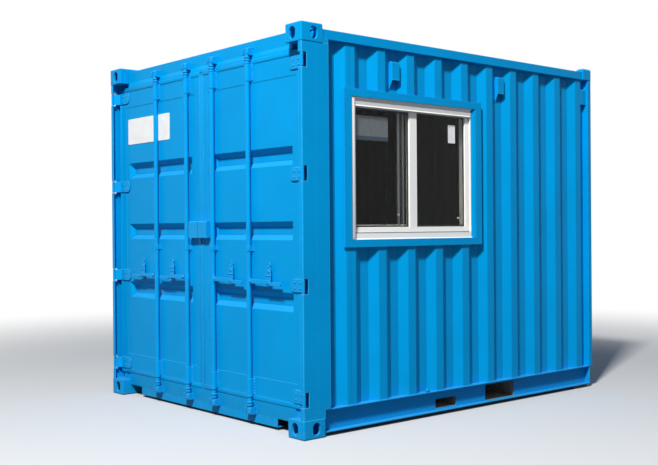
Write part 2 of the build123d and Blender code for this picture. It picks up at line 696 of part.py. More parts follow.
def window_opening():
    """Clear opening in the surround: X and Z ranges."""
    start = DOOR_X + WINDOW_FROM_END
    return ((start, start + WINDOW_WIDTH), (WINDOW_LOW, WINDOW_LOW + WINDOW_HEIGHT))


def window_walls():
    """The window wall in four sheets: each side of the window, over it and under it."""
    wall = long_wall()
    cut = inset(window_opening(), -SURROUND_PLATE, -SURROUND_PLATE, -SURROUND_PLATE)
    y = (-SIDE_Y, 0)
    return {
        "window_wall_door_side": wall & block((DOOR_X, cut[0][0]), y, (0, HEIGHT)),
        "window_wall_far_side": wall & block((cut[0][1], FAR_X), y, (0, HEIGHT)),
        "window_wall_above": wall & block(cut[0], y, (cut[1][1], HEIGHT)),
        "window_wall_below": wall & block(cut[0], y, (0, cut[1][0])),
    }


def far_end_wall():
    """Folded sheet across the far end, between the far posts."""
    half = SIDE_Y - POST_SETBACK - FAR_POST_DEPTH
    crest = WAVE_PITCH - 2 * WAVE_SLOPE - WAVE_FLAT
    count = int((2 * half - crest) / WAVE_PITCH)
    start = -count * WAVE_PITCH / 2 + crest / 2
    line = [(-half, 0)]
    for i in range(count):
        at = start + i * WAVE_PITCH
        line += [(at, 0), (at + WAVE_SLOPE, WAVE_DEPTH)]
        line += [(at + WAVE_SLOPE + WAVE_FLAT, WAVE_DEPTH), (at + 2 * WAVE_SLOPE + WAVE_FLAT, 0)]
    line.append((half, 0))
    face = FAR_X - FAR_WALL_BACK
    outside = [(face - depth, y) for y, depth in line]
    inside = [(face - depth - SHEET, y) for y, depth in reversed(line)]
    return plan(outside + inside, BOTTOM_RAIL_TOP, TOP_RAIL_TOP - TOP_RAIL)


def roof():
    """Pressed roof sheet with shallow ribs across the container."""
    low, high = DOOR_X + FITTING_LENGTH, FAR_X - POST_SETBACK - FAR_RAIL
    top = TOP_RAIL_TOP - ROOF_DROP
    crest = ROOF_WAVE_PITCH - 2 * ROOF_WAVE_SLOPE - ROOF_WAVE_FLAT
    count = int((high - low - crest) / ROOF_WAVE_PITCH)
    start = (low + high) / 2 - count * ROOF_WAVE_PITCH / 2 + crest / 2
    line = [(low, top)]
    for i in range(count):
        at = start + i * ROOF_WAVE_PITCH
        line += [(at, top), (at + ROOF_WAVE_SLOPE, top - ROOF_WAVE_DEPTH)]
        line += [(at + ROOF_WAVE_SLOPE + ROOF_WAVE_FLAT, top - ROOF_WAVE_DEPTH)]
        line += [(at + 2 * ROOF_WAVE_SLOPE + ROOF_WAVE_FLAT, top)]
    line.append((high, top))
    under = [(x, z - SHEET) for x, z in reversed(line)]
    section = make_face(Plane.XZ * Polyline(*line, *under, close=True))
    sheet = extrude(section, SIDE_Y - SETBACK - TOP_RAIL, both=True)
    far_corner = right_block((LENGTH - FAR_BLOCK_LENGTH, LENGTH), (0, FAR_BLOCK_WIDTH), (0, HEIGHT))
    return sheet - both(far_corner)


# ---------------------------------------------------------------- rails and far end
def top_side_rails():
    """Square tubes, each with a short piece below its door end that meets the door post."""
    x = (DOOR_X + FITTING_LENGTH, FAR_X - FAR_BLOCK_LENGTH)
    y = (-SIDE_Y + SETBACK, -SIDE_Y + SETBACK + TOP_RAIL)
    z = (TOP_RAIL_TOP - TOP_RAIL, TOP_RAIL_TOP)
    t = RAIL_WALL
    tube = block(x, y, z) - block(x, (y[0] + t, y[1] - t), (z[0] + t, z[1] - t))
    return both(tube + post_back((HEIGHT - FITTING_HEIGHT, z[0])))


def pockets():
    """Each fork pocket: its X range and Z range, clear inside."""
    floor = BOTTOM_RAIL_LOW + BOTTOM_RAIL_PLATE
    sizes = (
        (SMALL_POCKET_FROM_END, SMALL_POCKET_WIDTH, SMALL_POCKET_HEIGHT, floor + SMALL_POCKET_LIFT),
        (LARGE_POCKET_FROM_END, LARGE_POCKET_WIDTH, LARGE_POCKET_HEIGHT, floor),
    )
    return [
        ((DOOR_X + middle - width / 2, DOOR_X + middle + width / 2), (low, low + height))
        for middle, width, height, low in sizes
    ]


def web_in():
    """Outer face of the bottom rail's web, in from the side plane."""
    return SETBACK + BOTTOM_RAIL_FLANGE - BOTTOM_RAIL_PLATE


def bottom_side_rails():
    """Channels with their flanges outwards, cut for the fork pockets and shut at the far end."""
    x = (DOOR_X + FITTING_LENGTH, FAR_X - RAIL_END_SETBACK)
    z = (BOTTOM_RAIL_LOW, BOTTOM_RAIL_TOP)
    t = BOTTOM_RAIL_PLATE
    y = (-SIDE_Y + SETBACK, -SIDE_Y + SETBACK + BOTTOM_RAIL_FLANGE)
    rail = block(x, y, z) - block((x[0], x[1] - END_PLATE), (y[0], y[1] - t), (z[0] + t, z[1] - t))
    for px, pz in pockets():
        rail -= block(px, y, pz)
    return both(rail)


def fork_pockets():
    """Two rectangular tunnels for the forks, from one bottom rail to the other."""
    half = SIDE_Y - web_in() - BOTTOM_RAIL_PLATE
    t = POCKET_PLATE
    tunnels = Part()
    for x, z in pockets():
        outer = block((x[0] - t, x[1] + t), (-half, half), (z[0] - t, z[1] + t))
        tunnels += outer - block(x, (-half, half), z)
    return tunnels


def cross_member_places():
    """Middle of each cross member, evenly spaced between the sill, the fork pockets and the far rail."""
    small, large = [x for x, _ in pockets()]
    sill = DOOR_X + SILL_FACE_BACK + SILL_DEPTH
    far_rail = FAR_X - RAIL_END_SETBACK - FAR_RAIL
    spans = ((sill, small[0]), (small[1], large[0]), (large[1], far_rail))
    places = []
    for (low, high), count in zip(spans, CROSS_MEMBER_COUNTS):
        step = (high - low) / (count + 1)
        places += [low + (i + 1) * step for i in range(count)]
    return places


def cross_members():
    """Channels that carry the floor."""
    half = SIDE_Y - web_in() - BOTTOM_RAIL_PLATE
    low = BOTTOM_RAIL_LOW + BOTTOM_RAIL_PLATE
    t = CROSS_MEMBER_PLATE
    members = Part()
    for place in cross_member_places():
        x = (place - CROSS_MEMBER_WIDTH / 2, place + CROSS_MEMBER_WIDTH / 2)
        member = block(x, (-half, half), (low, FLOOR_UNDERSIDE))
        members += member - block((x[0] + t, x[1]), (-half, half), (low + t, FLOOR_UNDERSIDE - t))
    return members


def floor_boards():
    """Plywood deck from the sill to the far rail."""
    half = SIDE_Y - web_in() - BOTTOM_RAIL_PLATE - FLOOR_GAP
    start = DOOR_X + SILL_FACE_BACK + SILL_DEPTH + FLOOR_GAP
    end = FAR_X - RAIL_END_SETBACK - FAR_RAIL - FLOOR_GAP
    deck = block((start, end), (-half, half), (FLOOR_UNDERSIDE, FLOOR_UNDERSIDE + FLOOR_THICKNESS))
    corner = right_block((0, POST_LENGTH + FLOOR_GAP), (0, POST_STOP_IN + FLOOR_GAP), (0, HEIGHT))
    return deck - both(corner)


def far_posts():
    """Plain tube posts at the far end."""
    x = (FAR_X - POST_SETBACK - FAR_POST_LENGTH, FAR_X - POST_SETBACK)
    y = (-SIDE_Y + POST_SETBACK, -SIDE_Y + POST_SETBACK + FAR_POST_DEPTH)
    z = (BOTTOM_RAIL_TOP, TOP_RAIL_TOP - TOP_RAIL)
    t = POST_PLATE
    return both(block(x, y, z) - block((x[0] + t, x[1] - t), (y[0] + t, y[1] - t), z))


def far_top_blocks():
    """Plain blocks on the far corners, standing proud of the rails like the fittings."""
    piece = block(
        (FAR_X - FAR_BLOCK_LENGTH, FAR_X),
        (-SIDE_Y, -SIDE_Y + FAR_BLOCK_WIDTH),
        (TOP_RAIL_TOP - TOP_RAIL, HEIGHT),
    )
    piece = chamfer(piece.edges().group_by(Axis.Z)[-1], FAR_BLOCK_EDGE)
    outer = piece.edges().filter_by(Axis.Z).sort_by_distance(Vector(FAR_X, -SIDE_Y, HEIGHT))[0]
    return both(chamfer(outer, FAR_BLOCK_CORNER))


def far_end_rails():
    """Top tube and bottom channel across the far end."""
    half = SIDE_Y - FAR_BLOCK_WIDTH
    x = (FAR_X - POST_SETBACK - FAR_RAIL, FAR_X - POST_SETBACK)
    z = (TOP_RAIL_TOP - TOP_RAIL, TOP_RAIL_TOP)
    t = RAIL_WALL
    top = block(x, (-half, half), z) - block((x[0] + t, x[1] - t), (-half, half), (z[0] + t, z[1] - t))
    half = SIDE_Y - web_in() - BOTTOM_RAIL_PLATE
    x = (FAR_X - RAIL_END_SETBACK - FAR_RAIL, FAR_X - RAIL_END_SETBACK)
    z = (BOTTOM_RAIL_LOW, BOTTOM_RAIL_TOP)
    low = block(x, (-half, half), z) - block((x[0], x[1] - t), (-half, half), (z[0] + t, z[1] - t))
    return Part() + [top, low]


def far_feet():
    """Bearing pads under the far ends of the bottom rails."""
    x_high = FAR_X - RAIL_END_SETBACK - FOOT_SETBACK
    low = -SIDE_Y + SETBACK + FOOT_SETBACK
    return both(block((x_high - FOOT_LENGTH, x_high), (low, low + FOOT_WIDTH), (0, BOTTOM_RAIL_LOW)))


# ---------------------------------------------------------------- window and vents
def window_surround():
    """Flat steel surround with an edge turned back to the wall and a reveal round the frame."""
    opening = window_opening()
    outer = inset(opening, -SURROUND_SIDE, -SURROUND_EDGE, -SURROUND_EDGE)
    t = SURROUND_PLATE
    face = ring(outer, opening, (SETBACK, SETBACK + t))
    edge = ring(outer, inset(outer, t, t, t), (SETBACK, CREST_IN))
    reveal = ring(inset(opening, -t, -t, -t), opening, (SETBACK, REVEAL_IN))
    return face + edge + reveal


def window_frame():
    opening = window_opening()
    inner = inset(opening, FRAME_SIDE, FRAME_TOP, FRAME_SILL)
    return ring(opening, inner, (FRAME_IN, FRAME_IN + FRAME_DEPTH))


def sash_frames():
    """Outer rectangle of each sash, side by side inside the frame."""
    x, z = inset(window_opening(), FRAME_SIDE, FRAME_TOP, FRAME_SILL)
    middle = (x[0] + x[1]) / 2
    return [((x[0], middle), z), ((middle, x[1]), z)]


def window_sashes():
    depth = (SASH_IN, SASH_IN + SASH_DEPTH)
    rings = [ring(sash, inset(sash, SASH_SIDE, SASH_TOP, SASH_SILL), depth) for sash in sash_frames()]
    return Part() + rings


def window_glass():
    start = -SIDE_Y + SASH_IN + SASH_DEPTH / 2
    panes = []
    for sash in sash_frames():
        x, z = inset(sash, SASH_SIDE, SASH_TOP, SASH_SILL)
        panes.append(block(x, (start, start + GLASS), z))
    return Part() + panes


def vent(middle):
    """Folded cowl on the wall, open below, its mouth cut back at a slant."""
    wall = -SIDE_Y + CREST_IN + WAVE_DEPTH
    front = -SIDE_Y + VENT_FRONT_IN

    def side_view(lift, drop):
        points = [
            (wall, VENT_LOW - drop),
            (front + lift, VENT_LOW + VENT_MOUTH - drop),
            (front + lift, VENT_TOP - VENT_HOOD - lift),
            (wall, VENT_TOP - lift),
        ]
        return make_face(Plane.YZ * Polyline(*points, close=True))

    outside = extrude(side_view(0, 0), VENT_WIDTH / 2, both=True)
    inside = extrude(side_view(SHEET, VENT_MOUTH), VENT_WIDTH / 2 - SHEET, both=True)
    return Pos(middle, 0, 0) * (outside - inside)


def vents():
    """On both long walls, one cowl in each chosen recess and one beside the far post."""
    starts = wave_starts()
    middles = [DOOR_X + starts[i] + WAVE_SLOPE + WAVE_FLAT / 2 for i in VENT_WAVES]
    middles.append(FAR_X - POST_SETBACK - FAR_POST_LENGTH - VENT_WIDTH / 2)
    line = wall_line()
    face = [right(x, CREST_IN + depth) for x, depth in line]
    behind_wall = plan(face + [right(line[-1][0], SIDE_Y), right(line[0][0], SIDE_Y)], 0, HEIGHT)
    return both(Part() + [vent(middle) for middle in middles] - behind_wall)


# ---------------------------------------------------------------- all the nodes
def leaf_nodes():
    """Every piece of the right-hand leaf, by the last part of its name."""
    inner, outer = BAR_PLACES
    return {
        "door_frame": leaf_frame(),
        "door_panel": leaf_panel(),
        "door_gasket": leaf_gasket(),
        "door_hinges": leaf_hinges(),
        "bar_brackets": bar_brackets(),
        "handle_catches": handle_catches(),
        "inner_bar": locking_bar(inner),
        "outer_bar": locking_bar(outer),
        "inner_handle": handle(inner),
        "outer_handle": handle(outer),
    }


def all_nodes():
    nodes = {
        "lower_corner_fittings": lower_fittings(),
        "upper_corner_fittings": upper_fittings(),
        "door_posts": both(right_door_post()),
        "hinge_pins": hinge_pins(),
        "door_header": door_header(),
        "door_sill": door_sill(),
        "bar_keepers": bar_keepers(),
        "top_side_rails": top_side_rails(),
        "bottom_side_rails": bottom_side_rails(),
        "fork_pockets": fork_pockets(),
        "cross_members": cross_members(),
        "floor_boards": floor_boards(),
        "far_posts": far_posts(),
        "far_top_blocks": far_top_blocks(),
        "far_end_rails": far_end_rails(),
        "far_feet": far_feet(),
        "blind_wall": to_left(long_wall()),
        "far_end_wall": far_end_wall(),
        "roof": roof(),
        "window_surround": window_surround(),
        "window_frame": window_frame(),
        "window_sashes": window_sashes(),
        "window_glass": window_glass(),
        "vents": vents(),
        "right_lock_box": lock_box(LOCK_BOX_RIGHT),
        "left_lock_box": to_left(lock_box(LOCK_BOX_LEFT)),
    }
    nodes.update(window_walls())
    for name, shape in leaf_nodes().items():
        nodes["right_" + name] = shape
        nodes["left_" + name] = to_left(shape)
    return nodes


os.makedirs("parts", exist_ok=True)
for node, shape in all_nodes().items():
    export_step(shape, os.path.join("parts", node + ".step"))
    print(node, len(shape.solids()), round(shape.volume / 1e6, 3))
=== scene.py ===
"""Paint, window, fasteners and light for the shipping container cabin.

Metres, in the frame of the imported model: X along the container from the door end to the far end,
Y across it with the window wall on -Y, Z up from the ground.
"""

import json
import math
import random

import bmesh
import bpy
from mathutils import Matrix, Vector


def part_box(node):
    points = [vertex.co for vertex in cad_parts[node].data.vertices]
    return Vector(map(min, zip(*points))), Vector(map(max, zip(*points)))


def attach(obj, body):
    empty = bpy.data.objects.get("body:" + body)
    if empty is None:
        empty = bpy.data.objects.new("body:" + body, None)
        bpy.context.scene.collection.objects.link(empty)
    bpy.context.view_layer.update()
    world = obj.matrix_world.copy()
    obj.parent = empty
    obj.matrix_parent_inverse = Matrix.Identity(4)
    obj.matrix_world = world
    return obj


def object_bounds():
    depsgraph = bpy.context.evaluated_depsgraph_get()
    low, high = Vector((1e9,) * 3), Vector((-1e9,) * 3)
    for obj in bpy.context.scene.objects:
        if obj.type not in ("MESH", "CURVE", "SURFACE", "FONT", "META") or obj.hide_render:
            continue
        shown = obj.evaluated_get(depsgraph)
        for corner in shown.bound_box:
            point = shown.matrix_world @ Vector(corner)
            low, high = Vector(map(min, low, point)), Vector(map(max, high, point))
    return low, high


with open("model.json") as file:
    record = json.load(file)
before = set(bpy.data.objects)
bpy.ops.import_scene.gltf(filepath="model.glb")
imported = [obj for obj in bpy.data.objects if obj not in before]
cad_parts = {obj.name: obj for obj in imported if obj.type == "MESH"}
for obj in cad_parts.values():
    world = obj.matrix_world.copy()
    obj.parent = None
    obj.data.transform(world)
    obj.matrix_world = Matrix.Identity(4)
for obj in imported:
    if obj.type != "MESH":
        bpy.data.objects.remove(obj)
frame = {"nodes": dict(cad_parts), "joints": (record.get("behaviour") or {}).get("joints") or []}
cad_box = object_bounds()
nodes = frame["nodes"]
joints = {joint["name"]: joint for joint in frame["joints"]}
random.seed(7)
bpy.context.scene.view_settings.view_transform = "Standard"

MM = 0.001


# ---------------------------------------------------------------- colour and shader nodes
def linear(hex_colour):
    """An sRGB hex colour as linear RGBA."""
    parts = [int(hex_colour[i : i + 2], 16) / 255 for i in (1, 3, 5)]
    return tuple(c / 12.92 if c <= 0.04045 else ((c + 0.055) / 1.055) ** 2.4 for c in parts) + (1.0,)


def grey(level):
    """A linear grey, from 0, black, to 1, white."""
    return (level, level, level, 1.0)


def add(tree, kind, links=None, inputs=None, stops=(), **settings):
    """Adds a shader node of a kind. Links are {input: (node, output)} and inputs are {input: value};
    stops are the two (position, colour) ends of a colour ramp, and settings the node's properties."""
    node = tree.nodes.new("ShaderNode" + kind)
    for name, value in settings.items():
        setattr(node, name, value)
    for name, value in (inputs or {}).items():
        node.inputs[name].default_value = value
    for i, (position, colour) in enumerate(stops):
        node.color_ramp.elements[i].position = position
        node.color_ramp.elements[i].color = colour
    for name, (source, output) in (links or {}).items():
        tree.links.new(source.outputs[output], node.inputs[name])
    return node


def new_finish(name):
    """A material with no nodes yet, and its node tree."""
    material = bpy.data.materials.new(name)
    material.use_nodes = True
    tree = material.node_tree
    tree.nodes.clear()
    return material, tree


BLACK = grey(0.0)
WHITE = grey(1.0)
# sockets of a Mix node of colours, by number: its sets for numbers and for colours have the same names
SHARE, UNDER, OVER, MIXED = 0, 6, 7, 2


# ---------------------------------------------------------------- finishes
AZURE = "#0099dc"
EDGE_HIGHLIGHT_AZURE = "#4fbef6"  # painted highlight: the pale blue that the edges go
PRIMER = "#6f7478"
YARD_DUST = "#8f8a80"
ROOM_MIDDLE = (0.0, 0.0, 1.3)


def coat_colour(tree, place, hex_colour, inside_hex):
    """The coat in patches, about 400 mm across, where it was sprayed thicker and thinner."""
    coats = add(tree, "TexNoise", {"Vector": (place, "Object")},
                {"Scale": 1 / (400 * MM), "Detail": 3.0, "Roughness": 0.55})
    tone = add(tree, "ValToRGB", {"Fac": (coats, "Fac")}, stops=((0.3, grey(0.95)), (0.7, grey(1.04))))
    coat = add(tree, "Mix", {OVER: (tone, "Color")}, {SHARE: 1.0, UNDER: linear(hex_colour)},
               data_type="RGBA", blend_type="MULTIPLY")
    if not inside_hex:
        return coat
    # the faces that look towards the middle of the room have the grey primer that lines a container
    inward = add(tree, "VectorMath", {1: (place, "Object")}, {0: ROOM_MIDDLE}, operation="SUBTRACT")
    facing = add(tree, "VectorMath", {0: (place, "Normal"), 1: (inward, "Vector")}, operation="DOT_PRODUCT")
    inner = add(tree, "Math", {0: (facing, "Value")}, {1: 0.25}, operation="GREATER_THAN")
    return add(tree, "Mix", {SHARE: (inner, "Value"), UNDER: (coat, MIXED)}, {OVER: linear(inside_hex)},
               data_type="RGBA")


def painted_edge_highlights(tree, place, coat, highlight_width, highlight_strength):
    """Painted highlights: the coat goes pale along the edges, so they read as bright lines, broken about
    every 25 mm.
    """
    # painted highlight: pale where the rounded normal turns away from the flat one, near an edge
    near_edge = add(tree, "Bevel", inputs={"Radius": highlight_width}, samples=4)
    flat = add(tree, "NewGeometry")
    turn = add(tree, "VectorMath", {0: (near_edge, "Normal"), 1: (flat, "Normal")}, operation="DOT_PRODUCT")
    edge = add(tree, "MapRange", {"Value": (turn, "Value")},
               {"From Min": 0.99, "From Max": 0.8, "To Min": 0.0, "To Max": highlight_strength})
    breaks = add(tree, "TexNoise", {"Vector": (place, "Object")}, {"Scale": 1 / (25 * MM), "Detail": 3.0})
    broken = add(tree, "ValToRGB", {"Fac": (breaks, "Fac")}, stops=((0.3, grey(0.35)), (0.6, WHITE)))
    highlight_share = add(tree, "Math", {0: (edge, "Result"), 1: (broken, "Color")}, operation="MULTIPLY")
    return add(tree, "Mix", {SHARE: (highlight_share, "Value"), UNDER: (coat, MIXED)}, {OVER: linear(EDGE_HIGHLIGHT_AZURE)},
               data_type="RGBA")


def settled_grit(tree, place, dust):
    """How much grit covers the coat: dust on the faces that look up, and splash near the ground."""
    # the dust is a fine mottle about 15 mm across
    facing = add(tree, "SeparateXYZ", {"Vector": (place, "Normal")})
    upward = add(tree, "ValToRGB", {"Fac": (facing, "Z")}, stops=((0.35, BLACK), (1.0, WHITE)))
    mottle = add(tree, "TexNoise", {"Vector": (place, "Object")},
                 {"Scale": 1 / (15 * MM), "Detail": 4.0, "Roughness": 0.7})
    ledge = add(tree, "Math", {0: (upward, "Color"), 1: (mottle, "Fac")}, operation="MULTIPLY")
    lying = add(tree, "Math", {0: (ledge, "Value")}, {1: dust}, operation="MULTIPLY")
    # rain lifts grit on to the lowest 250 mm, in specks about 20 mm apart
    height = add(tree, "SeparateXYZ", {"Vector": (place, "Object")})
    low = add(tree, "MapRange", {"Value": (height, "Z")},
              {"From Min": 0.0, "From Max": 250 * MM, "To Min": 0.3, "To Max": 0.0})
    specks = add(tree, "TexNoise", {"Vector": (place, "Object")},
                 {"Scale": 1 / (20 * MM), "Detail": 6.0, "Roughness": 0.8})
    speckled = add(tree, "ValToRGB", {"Fac": (specks, "Fac")}, stops=((0.5, BLACK), (0.74, WHITE)))
    splash = add(tree, "Math", {0: (low, "Result"), 1: (speckled, "Color")}, operation="MULTIPLY")
    return add(tree, "Math", {0: (lying, "Value"), 1: (splash, "Value")}, operation="ADD", use_clamp=True)


def coat_relief(tree, place, bend, cast):
    """Softened bends, slow dents about 280 mm across, and orange peel; a casting keeps the grain of
    its sand mould under the paint."""
    rounded = add(tree, "Bevel", inputs={"Radius": bend}, samples=4)
    dents = add(tree, "TexNoise", {"Vector": (place, "Object")}, {"Scale": 1 / (280 * MM), "Detail": 1.0})
    waves = add(tree, "Bump", {"Height": (dents, "Fac"), "Normal": (rounded, "Normal")},
                {"Strength": 0.35, "Distance": 4 * MM})
    # orange peel is under 1 mm in life; 6 mm is as fine as shows here
    peel = add(tree, "TexNoise", {"Vector": (place, "Object")}, {"Scale": 1 / (6 * MM), "Detail": 2.0})
    return add(tree, "Bump", {"Height": (peel, "Fac"), "Normal": (waves, "Normal")},
               {"Strength": 0.12 + cast, "Distance": (0.4 + cast) * MM})


def sprayed_enamel(name, inside_hex=None, roughness=0.34, gloss=0.06, dust=0.16, cast=0.0, bend=3 * MM,
                   highlight_width=3 * MM, highlight_strength=0.75):
    """Alkyd enamel, sprayed on outdoors over old paint: one strong colour with a soft shine, a faint
    orange peel, slow dents in the sheet, dust on ledges and splash near the ground.

    inside_hex is the primer on the faces inside the room, dust how much lies on ledges, and cast the
    grain of a casting. bend is the radius of the folds, highlight_width that of the painted highlights
    along the edges, and highlight_strength how far these go pale.
    """
    material, tree = new_finish(name)
    place = add(tree, "TexCoord")
    coat = coat_colour(tree, place, AZURE, inside_hex)
    highlighted = painted_edge_highlights(tree, place, coat, highlight_width, highlight_strength)
    grit = settled_grit(tree, place, dust)
    dusty = add(tree, "Mix", {SHARE: (grit, "Value"), UNDER: (highlighted, MIXED)}, {OVER: linear(YARD_DUST)},
                data_type="RGBA")
    shine = add(tree, "MapRange", {"Value": (grit, "Value")},
                {"From Min": 0.0, "From Max": 1.0, "To Min": roughness, "To Max": 0.85})
    relief = coat_relief(tree, place, bend, cast)
    linked = {"Base Color": (dusty, MIXED), "Roughness": (shine, "Result"), "Normal": (relief, "Normal")}
    surface = add(tree, "BsdfPrincipled", linked, {"IOR": 1.5, "Specular IOR Level": gloss})
    add(tree, "OutputMaterial", {"Surface": (surface, "BSDF")})
    return material


def extruded_vinyl(name, hex_colour, shade_hex):
    """uPVC, extruded: even, with a low sheen, and painted shade: darker in the corners where profiles meet.
    """
    material, tree = new_finish(name)
    # painted shade: ambient occlusion darkens the white towards the shade colour in corners and creases
    corner = add(tree, "AmbientOcclusion", inputs={"Distance": 18 * MM}, samples=8)
    painted_corner_shade = add(tree, "ValToRGB", {"Fac": (corner, "AO")},
               stops=((0.25, linear(shade_hex)), (0.95, linear(hex_colour))))
    rounded = add(tree, "Bevel", inputs={"Radius": 1.5 * MM}, samples=4)
    surface = add(tree, "BsdfPrincipled", {"Base Color": (painted_corner_shade, "Color"), "Normal": (rounded, "Normal")},
                  {"Roughness": 0.38, "IOR": 1.53})
    add(tree, "OutputMaterial", {"Surface": (surface, "BSDF")})
    return material


def float_glass(name):
    """Clear float glass with a low-glare coat: flat, smooth, nearly colourless, with little reflection."""
    material, tree = new_finish(name)
    surface = add(tree, "BsdfPrincipled", inputs={"Base Color": linear("#e6e9e6"), "Roughness": 0.0,
                                                  "IOR": 1.16, "Transmission Weight": 1.0})
    add(tree, "OutputMaterial", {"Surface": (surface, "BSDF")})
    return material


def marine_plywood(name):
    """Varnished hardwood plywood deck: red-brown face grain in long streaks, sheet joints, scuffs."""
    material, tree = new_finish(name)
    place = add(tree, "TexCoord")
    # grain streaks about 6 mm wide and 300 mm long, along the container
    along = add(tree, "Mapping", {"Vector": (place, "Object")},
                {"Scale": (1 / (300 * MM), 1 / (6 * MM), 1 / (50 * MM))})
    grain = add(tree, "TexNoise", {"Vector": (along, "Vector")},
                {"Scale": 1.0, "Detail": 5.0, "Roughness": 0.65})
    wood = add(tree, "ValToRGB", {"Fac": (grain, "Fac")},
               stops=((0.3, linear("#5b3a22")), (0.75, linear("#8a5f3b"))))
    # the sheets differ a little in tone; they lie in two rows, staggered, with open joints 4 mm wide
    sheets = add(tree, "TexBrick", {"Vector": (place, "Object")},
                 {"Color1": grey(0.82), "Color2": grey(1.08), "Mortar": grey(0.12), "Mortar Size": 2 * MM,
                  "Mortar Smooth": 0.0, "Scale": 1.0, "Brick Width": 1220 * MM, "Row Height": 1160 * MM},
                 offset=0.5, squash=1.0)
    laid = add(tree, "Mix", {UNDER: (wood, "Color"), OVER: (sheets, "Color")}, {SHARE: 1.0},
               data_type="RGBA", blend_type="MULTIPLY")
    # boots and loads drag pale scuffs in and out of the doors, about 400 mm long and 70 mm wide
    drag = add(tree, "Mapping", {"Vector": (place, "Object")},
               {"Scale": (1 / (400 * MM), 1 / (70 * MM), 1.0)})
    scuffs = add(tree, "TexNoise", {"Vector": (drag, "Vector")},
                 {"Scale": 1.0, "Detail": 8.0, "Roughness": 0.7})
    scuffed = add(tree, "ValToRGB", {"Fac": (scuffs, "Fac")}, stops=((0.48, BLACK), (0.8, WHITE)))
    share = add(tree, "Math", {0: (scuffed, "Color")}, {1: 0.5}, operation="MULTIPLY")
    face = add(tree, "Mix", {SHARE: (share, "Value"), UNDER: (laid, MIXED)}, {OVER: linear("#9b8a75")},
               data_type="RGBA")
    raised = add(tree, "Bump", {"Height": (grain, "Fac")}, {"Strength": 0.3, "Distance": 0.5 * MM})
    surface = add(tree, "BsdfPrincipled", {"Base Color": (face, MIXED), "Normal": (raised, "Normal")},
                  {"Roughness": 0.55})
    add(tree, "OutputMaterial", {"Surface": (surface, "BSDF")})
    return material


def mottled(name, dark_hex, light_hex, patch, roughness, depth, metallic=0.0):
    """A surface whose tone and height drift between two colours, in patches of a given size and depth."""
    material, tree = new_finish(name)
    place = add(tree, "TexCoord")
    patches = add(tree, "TexNoise", {"Vector": (place, "Object")},
                  {"Scale": 1 / patch, "Detail": 6.0, "Roughness": 0.65})
    tone = add(tree, "ValToRGB", {"Fac": (patches, "Fac")},
               stops=((0.32, linear(dark_hex)), (0.7, linear(light_hex))))
    raised = add(tree, "Bump", {"Height": (patches, "Fac")}, {"Strength": 0.4, "Distance": depth})
    surface = add(tree, "BsdfPrincipled", {"Base Color": (tone, "Color"), "Normal": (raised, "Normal")},
                  {"Roughness": roughness, "Metallic": metallic})
    add(tree, "OutputMaterial", {"Surface": (surface, "BSDF")})
    return material


paint = sprayed_enamel("azure_enamel")
lined_paint = sprayed_enamel("azure_enamel_primer_inside", PRIMER)
# the posts are folded plate, with a painted highlight down the fold
folded_paint = sprayed_enamel("azure_enamel_on_folded_plate", bend=4 * MM, highlight_width=9 * MM, highlight_strength=1.0)
cast_paint = sprayed_enamel("azure_enamel_on_cast_steel", cast=0.35)
# forged door hardware is brushed by hand with a thicker coat that flows out glossy; its edges carry the
# painted highlights at full strength
hardware_paint = sprayed_enamel("azure_enamel_brushed_thick", roughness=0.24, gloss=0.1, dust=0.06,
                                highlight_strength=1.0)
# pressed panels have soft bends, and no painted highlights on their edges
pressed_paint = sprayed_enamel("azure_enamel_on_pressed_steel", PRIMER, bend=9 * MM, highlight_strength=0.0)
# the window's profiles are a slightly warm white; the interlock beside its screen is drawn grey, painted
# shade for the shadow it stands in behind the glass
vinyl = extruded_vinyl("white_vinyl_profile", "#f6f5f2", "#b4b1aa")
vinyl_drawn_in_shade = extruded_vinyl("vinyl_interlock_painted_shade", "#74777a", "#4a4c4e")
glass = float_glass("clear_float_glass")
plywood = marine_plywood("varnished_plywood_deck")
# brushed bitumen underseal: near black, dull, in thick uneven coats grey with road dust
underseal = mottled("bitumen_underseal", "#22211f", "#57524a", 30 * MM, 0.8, 1.5 * MM)
# red-lead and grey primer in the fork pockets, scraped by forks and grey-brown with yard dust
pocket_primer = mottled("dusty_pocket_primer", "#6d685d", "#a39d8e", 50 * MM, 0.75, 0.8 * MM)
# zinc plate: cloudy, softly shining metal, here blue with overspray from the doors
zinc = mottled("zinc_plated_steel", "#2f93d0", "#9dc3d8", 12 * MM, 0.42, 0.1 * MM, 1.0)
# the container's own grey primer, brushed thick over the corner sealant
inner_primer = mottled("grey_container_primer", "#666b6f", "#787d81", 60 * MM, 0.6, 0.4 * MM)
# EPDM weather seal: black, extruded, dull and slightly chalky
epdm = mottled("epdm_weather_seal", "#17181a", "#2b2d2f", 10 * MM, 0.7, 0.1 * MM)
# screen-print vinyl film: flat and even, a little chalked by the sun
white_film = mottled("white_vinyl_film", "#e9e9e8", "#f6f6f5", 80 * MM, 0.35, 0.3 * MM)
grey_film = mottled("frosted_vinyl_film", "#545c60", "#60686c", 50 * MM, 0.4, 0.1 * MM)
navy_film = mottled("navy_vinyl_film", "#1b2c3e", "#243648", 50 * MM, 0.4, 0.1 * MM)
# neutral-cure silicone: white, tooled smooth with a wet finger
silicone = mottled("white_silicone_sealant", "#e6e4de", "#f4f2ec", 30 * MM, 0.3, 0.4 * MM)

